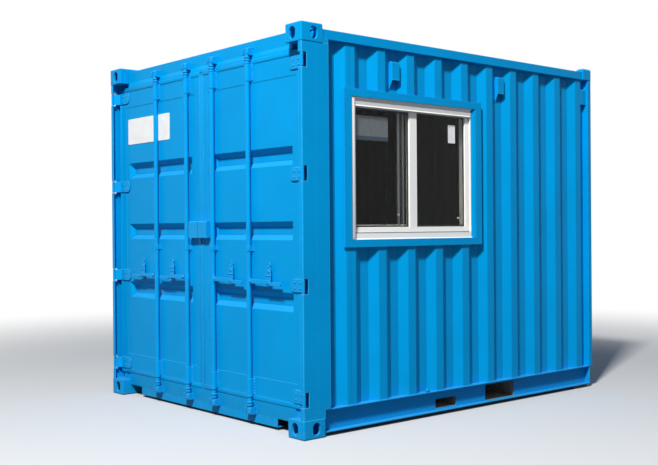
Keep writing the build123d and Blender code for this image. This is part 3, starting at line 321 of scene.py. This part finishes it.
HARDWARE = ("_bar", "_bar_brackets", "bar_keepers", "_handle", "_handle_catches", "_hinges", "_lock_box")
OTHER_FINISH = {
    "door_posts": folded_paint, "roof": lined_paint, "hinge_pins": zinc,
    "upper_corner_fittings": cast_paint, "lower_corner_fittings": cast_paint,
    "window_frame": vinyl, "window_sashes": vinyl, "window_glass": glass, "floor_boards": plywood,
    # the far feet take the black underseal so that they read as the shade under the far end: painted shade
    "cross_members": underseal, "far_feet": underseal, "fork_pockets": pocket_primer,
}


def node_finish(name):
    """The finish of a CAD node, by its name."""
    if "_wall" in name or name.endswith("_door_panel"):
        return pressed_paint
    if name.endswith(HARDWARE):
        return hardware_paint
    return OTHER_FINISH.get(name, paint)


for name, node in nodes.items():
    node.data.materials.clear()
    node.data.materials.append(node_finish(name))


# ---------------------------------------------------------------- making pieces
OUT = (-1, 0, 0)  # away from the doors
WALL_OUT = (0, -1, 0)  # away from the window wall
SMOOTH_UNDER = math.radians(38)


def in_metres(points):
    """Pairs of millimetres as pairs of metres."""
    return [(a * MM, b * MM) for a, b in points]


def spans(node, axis, gap):
    """Where the pieces of a CAD node lie along an axis: the low and high of each group of its points."""
    places = sorted(vertex.co[axis] for vertex in nodes[node].data.vertices)
    groups = [[places[0], places[0]]]
    for place in places[1:]:
        if place - groups[-1][1] > gap:
            groups.append([place, place])
        groups[-1][1] = place
    return groups


def make(name, bm, finish, body):
    """Makes a drawn mesh a piece of its own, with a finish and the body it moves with."""
    bmesh.ops.recalc_face_normals(bm, faces=bm.faces)
    for face in bm.faces:
        face.smooth = True
    for edge in bm.edges:
        edge.smooth = edge.calc_face_angle(0) < SMOOTH_UNDER
    mesh = bpy.data.meshes.new(name)
    bm.to_mesh(mesh)
    bm.free()
    mesh.materials.append(finish)
    piece = bpy.data.objects.new(name, mesh)
    bpy.context.scene.collection.objects.link(piece)
    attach(piece, body)


def slab(bm, low, high, easing=0.5 * MM):
    """A block between two corners, given in any order, with its edges eased."""
    size = [abs(b - a) for a, b in zip(low, high)]
    middle = [(a + b) / 2 for a, b in zip(low, high)]
    made = bmesh.ops.create_cube(bm, size=1, matrix=Matrix.Translation(middle) @ Matrix.Diagonal((*size, 1)))
    edges = list(dict.fromkeys(edge for vertex in made["verts"] for edge in vertex.link_edges))
    bmesh.ops.bevel(bm, geom=edges, offset=easing, segments=2, affect="EDGES", profile=0.5)


def skin(bm, rings, closed):
    """Faces between neighbouring rings of points; a ring of one point closes to a tip."""
    for lower, upper in zip(rings, rings[1:] + (rings[:1] if closed else [])):
        for i in range(max(len(lower), len(upper))):
            corners = [lower[i % len(lower)], lower[(i + 1) % len(lower)]]
            corners += [upper[(i + 1) % len(upper)], upper[i % len(upper)]]
            bm.faces.new(list(dict.fromkeys(corners)))


def prism(bm, ends):
    """A solid between two outlines with the same number of points."""
    rings = [[bm.verts.new(point) for point in outline] for outline in ends]
    skin(bm, rings, False)
    for ring in rings:
        bm.faces.new(ring)


def circle(radius, steps, first=0.0):
    """Points evenly round a circle, the first of them turned by a part of a step."""
    angles = [2 * math.pi * (i + first) / steps for i in range(steps)]
    return [(radius * math.cos(a), radius * math.sin(a)) for a in angles]


def turned(bm, profile, foot, axis, steps=12, closed=False):
    """A profile of (radius, height) pairs turned round an axis; a radius of 0 is a tip."""
    turn = Vector(axis).to_track_quat("Z", "Y").to_matrix()
    rings = []
    for radius, height in profile:
        ring = circle(radius, steps if radius else 1)
        rings.append([bm.verts.new(Vector(foot) + turn @ Vector((x, y, height))) for x, y in ring])
    skin(bm, rings, closed)


def rod(bm, path, radius, sides=6, ripple=None):
    """A round rod or weld bead along a path, with flat ends. A ripple is the pitch of a hand weld."""
    points = [Vector(point) for point in path]
    if ripple:
        fine = [points[0]]
        for start, end in zip(points, points[1:]):
            steps = max(1, round((end - start).length / ripple * 2))
            fine += [start.lerp(end, i / steps) for i in range(1, steps + 1)]
        points = fine
    rings = [[bm.verts.new(points[0])]]
    for i, point in enumerate(points):
        along = points[min(i + 1, len(points) - 1)] - points[max(i - 1, 0)]
        turn = along.to_track_quat("Z", "Y").to_matrix()
        size = radius * (random.uniform(0.8, 1.0) if ripple and i % 2 else 1.0)
        ring = circle(size, sides, 0.5)
        rings.append([bm.verts.new(point + turn @ Vector((x, y, 0))) for x, y in ring])
    rings.append([bm.verts.new(points[-1])])
    skin(bm, rings, False)


def mitred(bm, x, z, profile):
    """A frame with mitred corners round a rectangle; its profile is (inwards from the edge, y) points."""
    rings = []
    for i, k in ((0, 0), (1, 0), (1, 1), (0, 1)):
        across, up = 1 - 2 * i, 1 - 2 * k
        corner = [(x[i] + inward * across, y, z[k] + inward * up) for inward, y in profile]
        rings.append([bm.verts.new(point) for point in corner])
    skin(bm, rings, True)


# (radius, height) round the head of a rivet, in radii
DOME = ((0.0, -0.1), (1.0, -0.1), (0.95, 0.2), (0.7, 0.48), (0.35, 0.62), (0.0, 0.66))


def rivet(bm, foot, axis, radius, steps=10):
    """A round-headed rivet."""
    turned(bm, [(r * radius, h * radius) for r, h in DOME], foot, axis, steps)


def bolt(bm, foot, axis, radius, height):
    """A hexagon head on its washer."""
    rim, washer = 1.25 * radius, 1.5 * MM
    turned(bm, ((0, -washer), (rim, -washer), (rim, washer), (0, washer)), foot, axis, 16)
    head = ((0, 0), (radius, 0), (radius, height * 0.8), (radius * 0.85, height), (0, height))
    turned(bm, head, foot, axis, 6)


# ---------------------------------------------------------------- doors
DOOR_X = cad_box[0][0]
RIVET = 7.5 * MM
CATCH_FACE = DOOR_X + 48 * MM  # the front of the retainers' plates
COLLAR = ((15.5, 0), (20.5, 0), (21.5, 2.5), (21.5, 8.5), (20.5, 11), (15.5, 11))
COLLAR_HEIGHT = 11 * MM
END_PLUG = ((0, -2), (15, -2), (15, 0), (12, 2.5), (0, 3.5))


def leaf_face(side):
    """X of the outer face of a leaf's frame."""
    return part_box(side + "_door_frame")[0].x


def guides(side):
    """The low and high of each row of bar guides on a leaf."""
    return spans(side + "_bar_brackets", 2, 200 * MM)


def hinge_straps(side, hung):
    """Y of a leaf's hinge knuckles and of the tips of their straps, and the low and high of each strap."""
    low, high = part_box(side + "_door_hinges")
    outer, tip = (low.y, high.y) if hung < 0 else (high.y, low.y)
    knuckle_width = 46 * MM
    return outer - hung * knuckle_width, tip, spans(side + "_door_hinges", 2, 200 * MM)


def guide_rivets(side):
    """Six rivets down each flange of the tall guides, at the top and the foot of each bar."""
    bm = bmesh.new()
    flange_x = leaf_face(side) - 3.5 * MM
    rows = guides(side)
    inset, offset, count = 11 * MM, 29 * MM, 6
    for which in ("inner", "outer"):
        bar_y = joints[f"{side}_{which}_bar_turn"]["pos_m"][1]
        for low, high in (rows[0], rows[-1]):
            for i in range(count):
                z = low + inset + i * (high - low - 2 * inset) / (count - 1)
                for y in (bar_y - offset, bar_y + offset):
                    rivet(bm, (flange_x, y, z), OUT, RIVET)
    return bm


def leaf_welds(side, hung):
    """Weld beads where the panel meets the frame, and along both edges of each hinge strap."""
    bm = bmesh.new()
    low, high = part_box(side + "_door_panel")
    bead, pitch = 2.2 * MM, 12 * MM
    for z in (low.z, high.z):
        rod(bm, ((low.x, low.y, z), (low.x, high.y, z)), bead, ripple=pitch)
    for y in (low.y, high.y):
        rod(bm, ((low.x, y, low.z), (low.x, y, high.z)), bead, ripple=pitch)
    face = leaf_face(side)
    knuckle, tip, straps = hinge_straps(side, hung)
    rounding = 30 * MM  # the corners of the tips are rounded off, and the beads stop short of them
    for strap in straps:
        for z in strap:
            rod(bm, ((face, knuckle, z), (face, tip + hung * rounding, z)), 3 * MM, ripple=8 * MM)
    return bm


def hinge_rivets(side, hung):
    """Four rivets through each hinge strap."""
    bm = bmesh.new()
    strap_face = leaf_face(side) - 8 * MM
    knuckle, tip, straps = hinge_straps(side, hung)
    for low, high in straps:
        inset = (high - low) * 0.28
        for share in (0.35, 0.72):
            for z in (low + inset, high - inset):
                rivet(bm, (strap_face, knuckle + (tip - knuckle) * share, z), OUT, RIVET, 14)
    return bm


def seal_strips(side, hung):
    """Flat strips that hold the seal along the four edges of a leaf."""
    bm = bmesh.new()
    low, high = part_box(side + "_door_frame")
    face = low.x
    for y, inward in ((low.y, 1), (high.y, -1)):
        slab(bm, (face - 2.5 * MM, y + inward * 2 * MM, low.z + 4 * MM),
             (face + 1 * MM, y + inward * 20 * MM, high.z - 4 * MM), 1 * MM)
    # the strips along the top and the foot stop short of the hinges
    at_hinges, at_meeting = 66 * MM, 2 * MM
    left = low.y + (at_hinges if hung < 0 else at_meeting)
    right = high.y - (at_hinges if hung > 0 else at_meeting)
    for z, upward in ((low.z, -1), (high.z, 1)):
        slab(bm, (face - 3.5 * MM, left, z - upward * 12 * MM),
             (face - 1 * MM, right, z + upward * 19 * MM), 1 * MM)
    return bm


def seal_lips(side):
    """The round lip of the seal, painted over with the doors, up both sides of a leaf."""
    bm = bmesh.new()
    low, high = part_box(side + "_door_frame")
    seal_low, seal_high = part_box(side + "_door_gasket")
    lip = 3 * MM
    for y in (seal_low.y + lip, seal_high.y - lip):
        rod(bm, ((low.x, y, low.z), (low.x, y, high.z)), lip, 8)
    return bm


def seal_rings(side):
    """A wire ring for the customs seal, standing on each retainer."""
    bm = bmesh.new()
    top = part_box(side + "_handle_catches")[1].z
    ring_radius, wire = 13 * MM, 4.5 * MM
    section = [(ring_radius + across, along) for across, along in circle(wire, 8)]
    for low, high in spans(side + "_handle_catches", 1, 100 * MM):
        middle = (CATCH_FACE + 2.5 * MM, (low + high) / 2, top + 9 * MM)
        turned(bm, section, middle, OUT, 20, closed=True)
    return bm


def retainer_pins(side):
    """Each retainer hangs on a pin and is held by a bolt above it."""
    bm = bmesh.new()
    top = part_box(side + "_handle_catches")[1].z
    pin_x, pin_z = CATCH_FACE + 1 * MM, top - 62 * MM
    for low, high in spans(side + "_handle_catches", 1, 100 * MM):
        rod(bm, ((pin_x, low - 4 * MM, pin_z), (pin_x, high + 4 * MM, pin_z)), 5 * MM, 10)
        bolt(bm, (CATCH_FACE, (low + high) / 2, top - 34 * MM), OUT, 8 * MM, 5 * MM)
    return bm


def bar_collars(side, which):
    """Stop rings on a bar above and below its guides and at its cams, with a plug and a weld at each end."""
    bm = bmesh.new()
    x, y, _ = joints[f"{side}_{which}_bar_turn"]["pos_m"]
    low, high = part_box(f"{side}_{which}_bar")
    rows = guides(side)
    places = (rows[-1][1] + 1 * MM, rows[0][0] - 1 * MM - COLLAR_HEIGHT)
    places += (high.z - 66 * MM, high.z - 84 * MM, low.z + 55 * MM, low.z + 73 * MM)
    for z in places:
        turned(bm, in_metres(COLLAR), (x, y, z), (0, 0, 1), 24, closed=True)
    for z, up in ((high.z, 1), (low.z, -1)):
        turned(bm, in_metres(END_PLUG), (x, y, z), (0, 0, up), 20)
        weld = circle(17 * MM, 16)
        rod(bm, [(x + dx, y + dy, z - up * 11 * MM) for dx, dy in weld + weld[:1]], 3 * MM)
    return bm


def pivot_head(side, which):
    """The domed head of the bolt that a handle turns on."""
    bm = bmesh.new()
    _, y, z = joints[f"{side}_{which}_handle_lift"]["pos_m"]
    rivet(bm, (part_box(f"{side}_{which}_bar")[0].x + 0.2 * MM, y, z), OUT, 9 * MM, 16)
    return bm


# hung is the side of the container that a leaf hangs on: -1 is the window wall's
for side, hung in (("right", -1), ("left", 1)):
    leaf = side + "_door"
    make(side + "_guide_rivets", guide_rivets(side), hardware_paint, leaf)
    make(side + "_leaf_welds", leaf_welds(side, hung), paint, leaf)
    make(side + "_hinge_rivets", hinge_rivets(side, hung), hardware_paint, leaf)
    make(side + "_seal_strips", seal_strips(side, hung), paint, leaf)
    make(side + "_seal_lips", seal_lips(side), paint, leaf)
    make(side + "_seal_rings", seal_rings(side), hardware_paint, leaf)
    make(side + "_retainer_pins", retainer_pins(side), hardware_paint, leaf)
    for which in ("inner", "outer"):
        bar = f"{side}_{which}_bar"
        make(bar + "_collars", bar_collars(side, which), hardware_paint, bar)
        make(bar + "_pivot_head", pivot_head(side, which), hardware_paint, bar)


# ---------------------------------------------------------------- door end frame
def keeper_welds():
    """Weld beads down both sides of each keeper, on the sill and on the header."""
    bm = bmesh.new()
    header_face = DOOR_X + 74 * MM
    faces = (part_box("door_sill")[0].x, header_face)
    for (low, high), face in zip(spans("bar_keepers", 2, 500 * MM), faces):
        x = face - 1 * MM
        for y0, y1 in spans("bar_keepers", 1, 60 * MM):
            for y in (y0 - 1 * MM, y1 + 1 * MM):
                rod(bm, ((x, y, low + 2 * MM), (x, y, high - 2 * MM)), 3 * MM, ripple=8 * MM)
    return bm


def fitting_welds():
    """Weld beads between the corner castings and the posts and rails that run into them."""
    bm = bmesh.new()
    bead, pitch = 3.5 * MM, 10 * MM
    inset = 4.5 * MM  # the middle of a bead lies this far behind the castings' faces
    turn = 6 * MM  # and cuts across the corner from this far on each side
    front = DOOR_X + inset
    for node, edge in (("lower_corner_fittings", 1), ("upper_corner_fittings", 0)):
        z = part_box(node)[edge].z
        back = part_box(node)[1].x
        for sign in (-1, 1):
            side = sign * (cad_box[1][1] - inset)
            path = ((front, side - sign * 33 * MM, z), (front, side - sign * turn, z))
            path += ((front + turn, side, z), (back, side, z))
            rod(bm, path, bead, ripple=pitch)
    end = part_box("lower_corner_fittings")[1].x
    low_z, high_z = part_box("bottom_side_rails")[0].z + 8 * MM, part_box("lower_corner_fittings")[1].z
    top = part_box("top_side_rails")[1]
    for sign in (-1, 1):
        side = sign * (top.y - 1.5 * MM)
        web = sign * (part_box("bottom_side_rails")[1].y - 46 * MM)
        path = ((end, side, top.z - 60 * MM), (end, side, top.z - 1 * MM))
        path += ((end, side - sign * 55 * MM, top.z),)
        rod(bm, path, bead, ripple=pitch)
        rod(bm, ((end, web, low_z), (end, web, high_z)), bead, ripple=pitch)
    return bm


def sill_upstand():
    """The plate on the sill that the door seal closes over; it leans back to the sill's face below."""
    bm = bmesh.new()
    low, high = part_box("door_sill")
    profile = in_metres(((1, -10), (-9, -10), (-10, -11), (-10, -14), (0, -102), (1, -102)))
    end = cad_box[1][1] - 164 * MM  # it ends between the corner fittings, 2 mm clear of them
    prism(bm, [[(low.x + x, y, high.z + z) for x, z in profile] for y in (-end, end)])
    return bm


def corner_covers():
    """A primed angle up each far corner of the room, over the edge of the post."""
    bm = bmesh.new()
    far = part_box("far_end_wall")[1]
    wall, side = far.x - 17 * MM, far.y + 2 * MM
    deep, wide = 34 * MM, 30 * MM
    deck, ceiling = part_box("floor_boards")[1].z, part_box("roof")[0].z
    for sign in (-1, 1):
        slab(bm, (wall - deep, sign * (side - wide), deck), (wall, sign * side, ceiling), 8 * MM)
    return bm


make("fitting_welds", fitting_welds(), paint, "container")
make("keeper_welds", keeper_welds(), paint, "container")
make("sill_upstand", sill_upstand(), paint, "container")
make("corner_covers", corner_covers(), inner_primer, "container")


# ---------------------------------------------------------------- walls
WAVE_DEPTH = 36 * MM


def foot_line(names, axis, crest, inward):
    """The outer line of a corrugated wall at its foot: its points on the crests and in the recesses."""
    points = set()
    for name in names:
        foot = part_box(name)[0].z
        for vertex in nodes[name].data.vertices:
            depth = (vertex.co[axis] - crest) * inward
            at_foot = abs(vertex.co.z - foot) < 0.5 * MM
            if at_foot and min(abs(depth), abs(depth - WAVE_DEPTH)) < 0.3 * MM:
                points.add((round(vertex.co[1 - axis], 4), round(crest + inward * round(depth, 4), 4)))
    return sorted(points)


def foot_welds():
    """The bead that runs along the foot of each wall, in and out of its waves."""
    bm = bmesh.new()
    bead, pitch, proud = 3 * MM, 12 * MM, 1 * MM
    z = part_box("window_wall_below")[0].z + proud
    window_wall = ("window_wall_door_side", "window_wall_below", "window_wall_far_side")
    for names, sign in ((window_wall, -1), (("blind_wall",), 1)):
        line = foot_line(names, 1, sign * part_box("blind_wall")[1].y, -sign)
        rod(bm, [(x, y + sign * proud, z) for x, y in line], bead, ripple=pitch)
    line = foot_line(("far_end_wall",), 0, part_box("far_end_wall")[1].x, -1)
    rod(bm, [(x + proud, y, z) for y, x in line], bead, ripple=pitch)
    return bm


def vent_trim():
    """Each cowl has a hem along its lower lip, and a lug with two rivets over it."""
    bm = bmesh.new()
    low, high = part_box("vents")
    hem_z = low.z + 66 * MM
    lug_foot, lug_top, lug_plate = high.z - 2 * MM, high.z + 18 * MM, 2.5 * MM
    cowls = spans("vents", 0, 100 * MM)
    for x0, x1 in cowls:
        for sign in (-1, 1):
            recess = sign * (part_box("blind_wall")[1].y - WAVE_DEPTH)
            rod(bm, ((x0 + 1 * MM, sign * high.y, hem_z), (x1 - 1 * MM, sign * high.y, hem_z)), 2.5 * MM, 8)
            if x1 == cowls[-1][1]:
                continue  # the last cowl stands against the post, with no room for a lug
            front = recess + sign * lug_plate
            slab(bm, (x0 + 6 * MM, recess, lug_foot), (x1 - 6 * MM, front, lug_top), 1 * MM)
            for x in (x0 + 16 * MM, x1 - 16 * MM):
                rivet(bm, (x, front, high.z + 9 * MM), (0, sign, 0), 4.5 * MM)
    return bm


def earth_lug():
    """A small earthing lug with its bolt, welded on the lower flange under the window."""
    bm = bmesh.new()
    x, half_width = -0.41, 18 * MM
    face = cad_box[0][1] + 14 * MM
    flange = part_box("bottom_side_rails")[1].z
    slab(bm, (x - half_width, face, flange - 1 * MM),
         (x + half_width, face + 5 * MM, flange + 26 * MM), 1.5 * MM)
    bolt(bm, (x, face, flange + 14 * MM), WALL_OUT, 7 * MM, 5 * MM)
    return bm


make("wall_foot_welds", foot_welds(), paint, "container")
make("vent_trim", vent_trim(), paint, "container")
make("earth_lug", earth_lug(), paint, "container")


# ---------------------------------------------------------------- window
def behind(depth):
    """Y of a depth in millimetres behind the plane of the window side."""
    return cad_box[0][1] + depth * MM


FRAME_LOW, FRAME_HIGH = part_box("window_frame")
OPENING = ((FRAME_LOW.x, FRAME_HIGH.x), (FRAME_LOW.z, FRAME_HIGH.z))
PANE_LOW, PANE_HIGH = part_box("window_glass")
PANE_EDGES = [edge for edge, _ in spans("window_glass", 0, 30 * MM)]
PANES = [(sides, (PANE_LOW.z, PANE_HIGH.z)) for sides in (PANE_EDGES[:2], PANE_EDGES[2:])]
MEETING = (PANE_EDGES[1] + PANE_EDGES[2]) / 2  # X of the middle of the sashes' overlap
# the inner sash and the screen stand inside these edges of the frame
INNER_LEFT, INNER_FOOT, INNER_HEAD = FRAME_LOW.x + 32 * MM, FRAME_LOW.z + 40 * MM, FRAME_HIGH.z - 28 * MM


def trim(rectangles, profile):
    """Mitred trim round one or more rectangles; the profile is (inwards, depth) in millimetres."""
    bm = bmesh.new()
    for x, z in rectangles:
        mitred(bm, x, z, [(inward * MM, behind(depth)) for inward, depth in profile])
    return bm


def window_head():
    """The head of the frame is deeper than its sides. Its face is coved: it leans back from the top,
    and comes forward again to a lip over the glass. A cover strip stands nearly flush at the door side."""
    bm = bmesh.new()
    top, lip = FRAME_HIGH.z - 27 * MM, PANE_HIGH.z - 1 * MM
    cove = ((top, 50), (top, 22), (top - 8 * MM, 23.5), (top - 18 * MM, 26), (top - 26 * MM, 27.5))
    cove += ((top - 34 * MM, 28), (lip + 10 * MM, 27), (lip + 4 * MM, 24.5), (lip + 1 * MM, 23.5), (lip, 25))
    cove += ((lip, 50),)
    ends = (FRAME_LOW.x + 29 * MM, FRAME_HIGH.x - 32 * MM)
    prism(bm, [[(x, behind(depth), z) for z, depth in cove] for x in ends])
    slab(bm, (FRAME_LOW.x + 1 * MM, behind(13), FRAME_LOW.z + 1 * MM),
         (FRAME_LOW.x + 30 * MM, behind(31), FRAME_HIGH.z - 1 * MM), 2 * MM)
    return bm


def bent_reveal():
    """At the far side the steel reveal is bent in to the frame."""
    bm = bmesh.new()
    plan = ((0.5, 9), (0.5, 31), (-27, 31), (-27, 28.5), (-0.5, 9))
    ends = (FRAME_LOW.z + 1 * MM, FRAME_HIGH.z - 1 * MM)
    prism(bm, [[(FRAME_HIGH.x + x * MM, behind(depth), z) for x, depth in plan] for z in ends])
    return bm


def sash_brush():
    """The black brush strip that seals the foot of the sashes on the sill."""
    bm = bmesh.new()
    low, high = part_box("window_sashes")
    slab(bm, (low.x + 1 * MM, low.y - 2 * MM, low.z + 1 * MM),
         (high.x - 1 * MM, low.y + 1 * MM, low.z + 4.5 * MM))
    return bm


def screen_edge():
    """The dark edge of the insect screen, behind the middle of the window."""
    bm = bmesh.new()
    left, right = MEETING - 122 * MM, MEETING - 30 * MM
    slab(bm, (left, behind(92), INNER_FOOT), (right, behind(98), INNER_HEAD), 1 * MM)
    return bm


def interlock_ribs():
    """The two upright ribs of the screen's interlock, drawn grey as painted shade."""
    bm = bmesh.new()
    for rib in ((-116, -99), (-70, -56)):
        left, right = (MEETING + side * MM for side in rib)
        slab(bm, (left, behind(84), INNER_FOOT), (right, behind(93), INNER_HEAD), 1.5 * MM)
    return bm


def sash_knobs():
    """Each sash is slid by a knob stuck to the inner face of its pane."""
    bm = bmesh.new()
    knob = in_metres(((0, 0), (6, 0), (6.5, 1), (4.5, 3), (4.5, 7), (8, 9), (8.5, 11), (7, 13), (0, 13.5)))
    for x, z in ((-0.622, 1.4), (-0.02, 1.377)):
        turned(bm, knob, (x, behind(66.9), z), (0, 1, 0), 16)
    return bm


# sealant, tooled between the steel reveal and the frame
sealant = trim([OPENING], ((-0.5, 22), (2.5, 26), (8, 30.5), (-0.5, 31)))
# the beads lean in from the sash to the glass on both sides, with a black wedge gasket at the front
outer_beads = trim(PANES, ((-0.5, 49), (1, 48.6), (3.5, 52), (4, 62.8), (-0.5, 62.8)))
inner_beads = trim(PANES, ((-0.5, 77.5), (2.5, 77.5), (4, 73), (4, 67.2), (-0.5, 67.2)))
gaskets = trim(PANES, ((3.5, 60), (7.5, 62), (15, 62.4), (15, 62.9), (3.5, 62.9)))
# behind the fixed pane stands the inner sash
inner_opening = ((INNER_LEFT, MEETING + 30 * MM), (INNER_FOOT, INNER_HEAD + 26 * MM))
inner_sash = trim([inner_opening], ((0, 82), (50, 82), (54, 84), (56, 88), (56, 99), (0, 99)))
# a box of white board lines the opening behind the frame
liner = trim([OPENING], ((14, 99), (32, 99), (32, 140), (30, 141.5), (14, 141.5)))

make("window_sealant", sealant, silicone, "container")
make("window_head", window_head(), vinyl, "container")
make("bent_reveal", bent_reveal(), paint, "container")
make("glazing_beads", outer_beads, vinyl, "container")
make("inner_beads", inner_beads, vinyl, "container")
make("wedge_gaskets", gaskets, epdm, "container")
make("sash_brush", sash_brush(), epdm, "container")
make("inner_sash", inner_sash, vinyl, "container")
make("screen_edge", screen_edge(), epdm, "container")
make("interlock_ribs", interlock_ribs(), vinyl_drawn_in_shade, "container")
make("window_liner", liner, silicone, "container")
make("sash_knobs", sash_knobs(), vinyl, "container")


# ---------------------------------------------------------------- sign and stickers
def film(low, high, thickness, outward, radius):
    """A film or thin plate with rounded corners, flat on a face between its low and high corners."""
    flat = 0 if outward[0] else 1
    across = 1 - flat
    outline = []
    for right, up, start in ((1, 1, 0), (0, 1, 90), (0, 0, 180), (1, 0, 270)):
        middle = (low, high)[right][across] + (-radius if right else radius)
        middle_up = (low, high)[up][2] + (-radius if up else radius)
        for step in range(5):
            angle = math.radians(start + 22.5 * step)
            outline.append((middle + radius * math.cos(angle), middle_up + radius * math.sin(angle)))
    ends = []
    for height in (0, thickness):
        plane = low[flat] + outward[flat] * height
        ends.append([(plane, side, z) if across else (side, plane, z) for side, z in outline])
    bm = bmesh.new()
    prism(bm, ends)
    return bm


PANE_FACE = behind(63.05)
STICKERS = (  # each one's name, finish, left and right, foot and top, and the radius of its corners
    ("grey_sticker", grey_film, (-1.026, -0.728), (1.917, 2.051), 6 * MM),
    ("navy_sticker", navy_film, (-1.026, -0.728), (1.889, 1.9165), 3 * MM),
    ("white_sticker", white_film, (-0.134, -0.06), (1.911, 2.04), 3 * MM),
)
for name, finish, x, z, radius in STICKERS:
    sticker = film((x[0], PANE_FACE, z[0]), (x[1], PANE_FACE, z[1]), 0.3 * MM, WALL_OUT, radius)
    make(name, sticker, finish, "container")
SIGN_X = DOOR_X + 67.9 * MM
sign = film((SIGN_X, 0.43, 1.985), (SIGN_X, 1.048, 2.184), 3 * MM, OUT, 10 * MM)
make("door_sign", sign, white_film, "left_door")


# ---------------------------------------------------------------- camera, floor and light
SENSOR = 36.0
LENS = 972.7 / 658 * SENSOR  # the focal length, from its share of the view's width
FLOOR_REACH = 60.0


def look(name, position, yaw, pitch, roll, lens):
    """Camera at a point, turned by yaw from +Y, pitch and roll, in degrees."""
    camera = bpy.data.objects.new(name, bpy.data.cameras.new(name))
    bpy.context.scene.collection.objects.link(camera)
    turn = Matrix.Rotation(math.radians(yaw), 4, "Z") @ Matrix.Rotation(math.radians(90 + pitch), 4, "X")
    turn = turn @ Matrix.Rotation(math.radians(roll), 4, "Z")
    camera.matrix_world = Matrix.Translation(position) @ turn
    camera.data.lens = lens
    camera.data.sensor_width = SENSOR
    camera.data.clip_end = 100
    bpy.context.scene.camera = camera


def seen_by_eye(tree):
    """1 for rays from the eye, straight, by gloss or through glass, and 0 for those that light things."""
    ray = add(tree, "LightPath")
    seen = add(tree, "Math", {0: (ray, "Is Camera Ray"), 1: (ray, "Is Glossy Ray")}, operation="MAXIMUM")
    return add(tree, "Math", {0: (seen, "Value"), 1: (ray, "Is Transmission Ray")}, operation="MAXIMUM")


def floor_finish():
    """Pale studio floor that keeps the shadow and runs out into the white backdrop. Only what is seen
    of it is pale: the light it sends up to the underside is that of grey ground."""
    material, tree = new_finish("studio_floor")
    seen = seen_by_eye(tree)
    ground = add(tree, "BsdfDiffuse", inputs={"Color": grey(0.18)})
    pale = add(tree, "BsdfDiffuse", inputs={"Color": grey(0.64)})
    place = add(tree, "TexCoord")
    reach = add(tree, "VectorMath", {0: (place, "Object")}, operation="LENGTH")
    far = add(tree, "MapRange", {"Value": (reach, "Value")},
              {"From Min": 3.0, "From Max": 9.0, "To Min": 0.0, "To Max": 1.0},
              interpolation_type="SMOOTHSTEP")
    backdrop = add(tree, "Emission", inputs={"Color": WHITE, "Strength": 1.0})
    fading = add(tree, "MixShader", {0: (far, "Result"), 1: (pale, "BSDF"), 2: (backdrop, "Emission")})
    mixed = add(tree, "MixShader", {0: (seen, "Value"), 1: (ground, "BSDF"), 2: (fading, "Shader")})
    add(tree, "OutputMaterial", {"Surface": (mixed, "Shader")})
    return material


def studio_floor():
    """A wide flat floor under the container."""
    mesh = bpy.data.meshes.new("studio_floor")
    corners = [(x * FLOOR_REACH, y * FLOOR_REACH, 0) for x, y in ((-1, -1), (1, -1), (1, 1), (-1, 1))]
    mesh.from_pydata(corners, [], [(0, 1, 2, 3)])
    mesh.materials.append(floor_finish())
    floor = bpy.data.objects.new("studio_floor", mesh)
    bpy.context.scene.collection.objects.link(floor)


def studio_world():
    """A soft blue room light, seen as a white backdrop."""
    world = bpy.data.worlds.new("studio")
    bpy.context.scene.world = world
    world.use_nodes = True
    tree = world.node_tree
    tree.nodes.clear()
    seen = seen_by_eye(tree)
    room = add(tree, "Background", inputs={"Color": (0.72, 0.92, 1.25, 1), "Strength": 0.18})
    backdrop = add(tree, "Background", inputs={"Color": WHITE, "Strength": 1.0})
    mixed = add(tree, "MixShader", {0: (seen, "Value"), 1: (room, "Background"), 2: (backdrop, "Background")})
    add(tree, "OutputWorld", {"Surface": (mixed, "Shader")})


def softbox(name, place, target, size, power, colour):
    """A square area lamp aimed at a point."""
    lamp = bpy.data.lights.new(name, "AREA")
    lamp.shape = "SQUARE"
    lamp.size = size
    lamp.energy = power
    lamp.color = colour
    holder = bpy.data.objects.new(name, lamp)
    bpy.context.scene.collection.objects.link(holder)
    holder.location = place
    holder.rotation_euler = (Vector(target) - Vector(place)).to_track_quat("-Z", "Y").to_euler()


look("camera", (-5.2904, -5.8609, 1.3113), yaw=-40.613, pitch=-0.255, roll=-0.439, lens=LENS)
studio_floor()
studio_world()
# one lamp, slightly warm and as crisp as sun, from above the doors and the window wall
softbox("key_light", (-9.0, -6.2, 11.4), target=(0, 0, 1.2), size=1.3, power=2950, colour=(1.0, 0.99, 0.96))
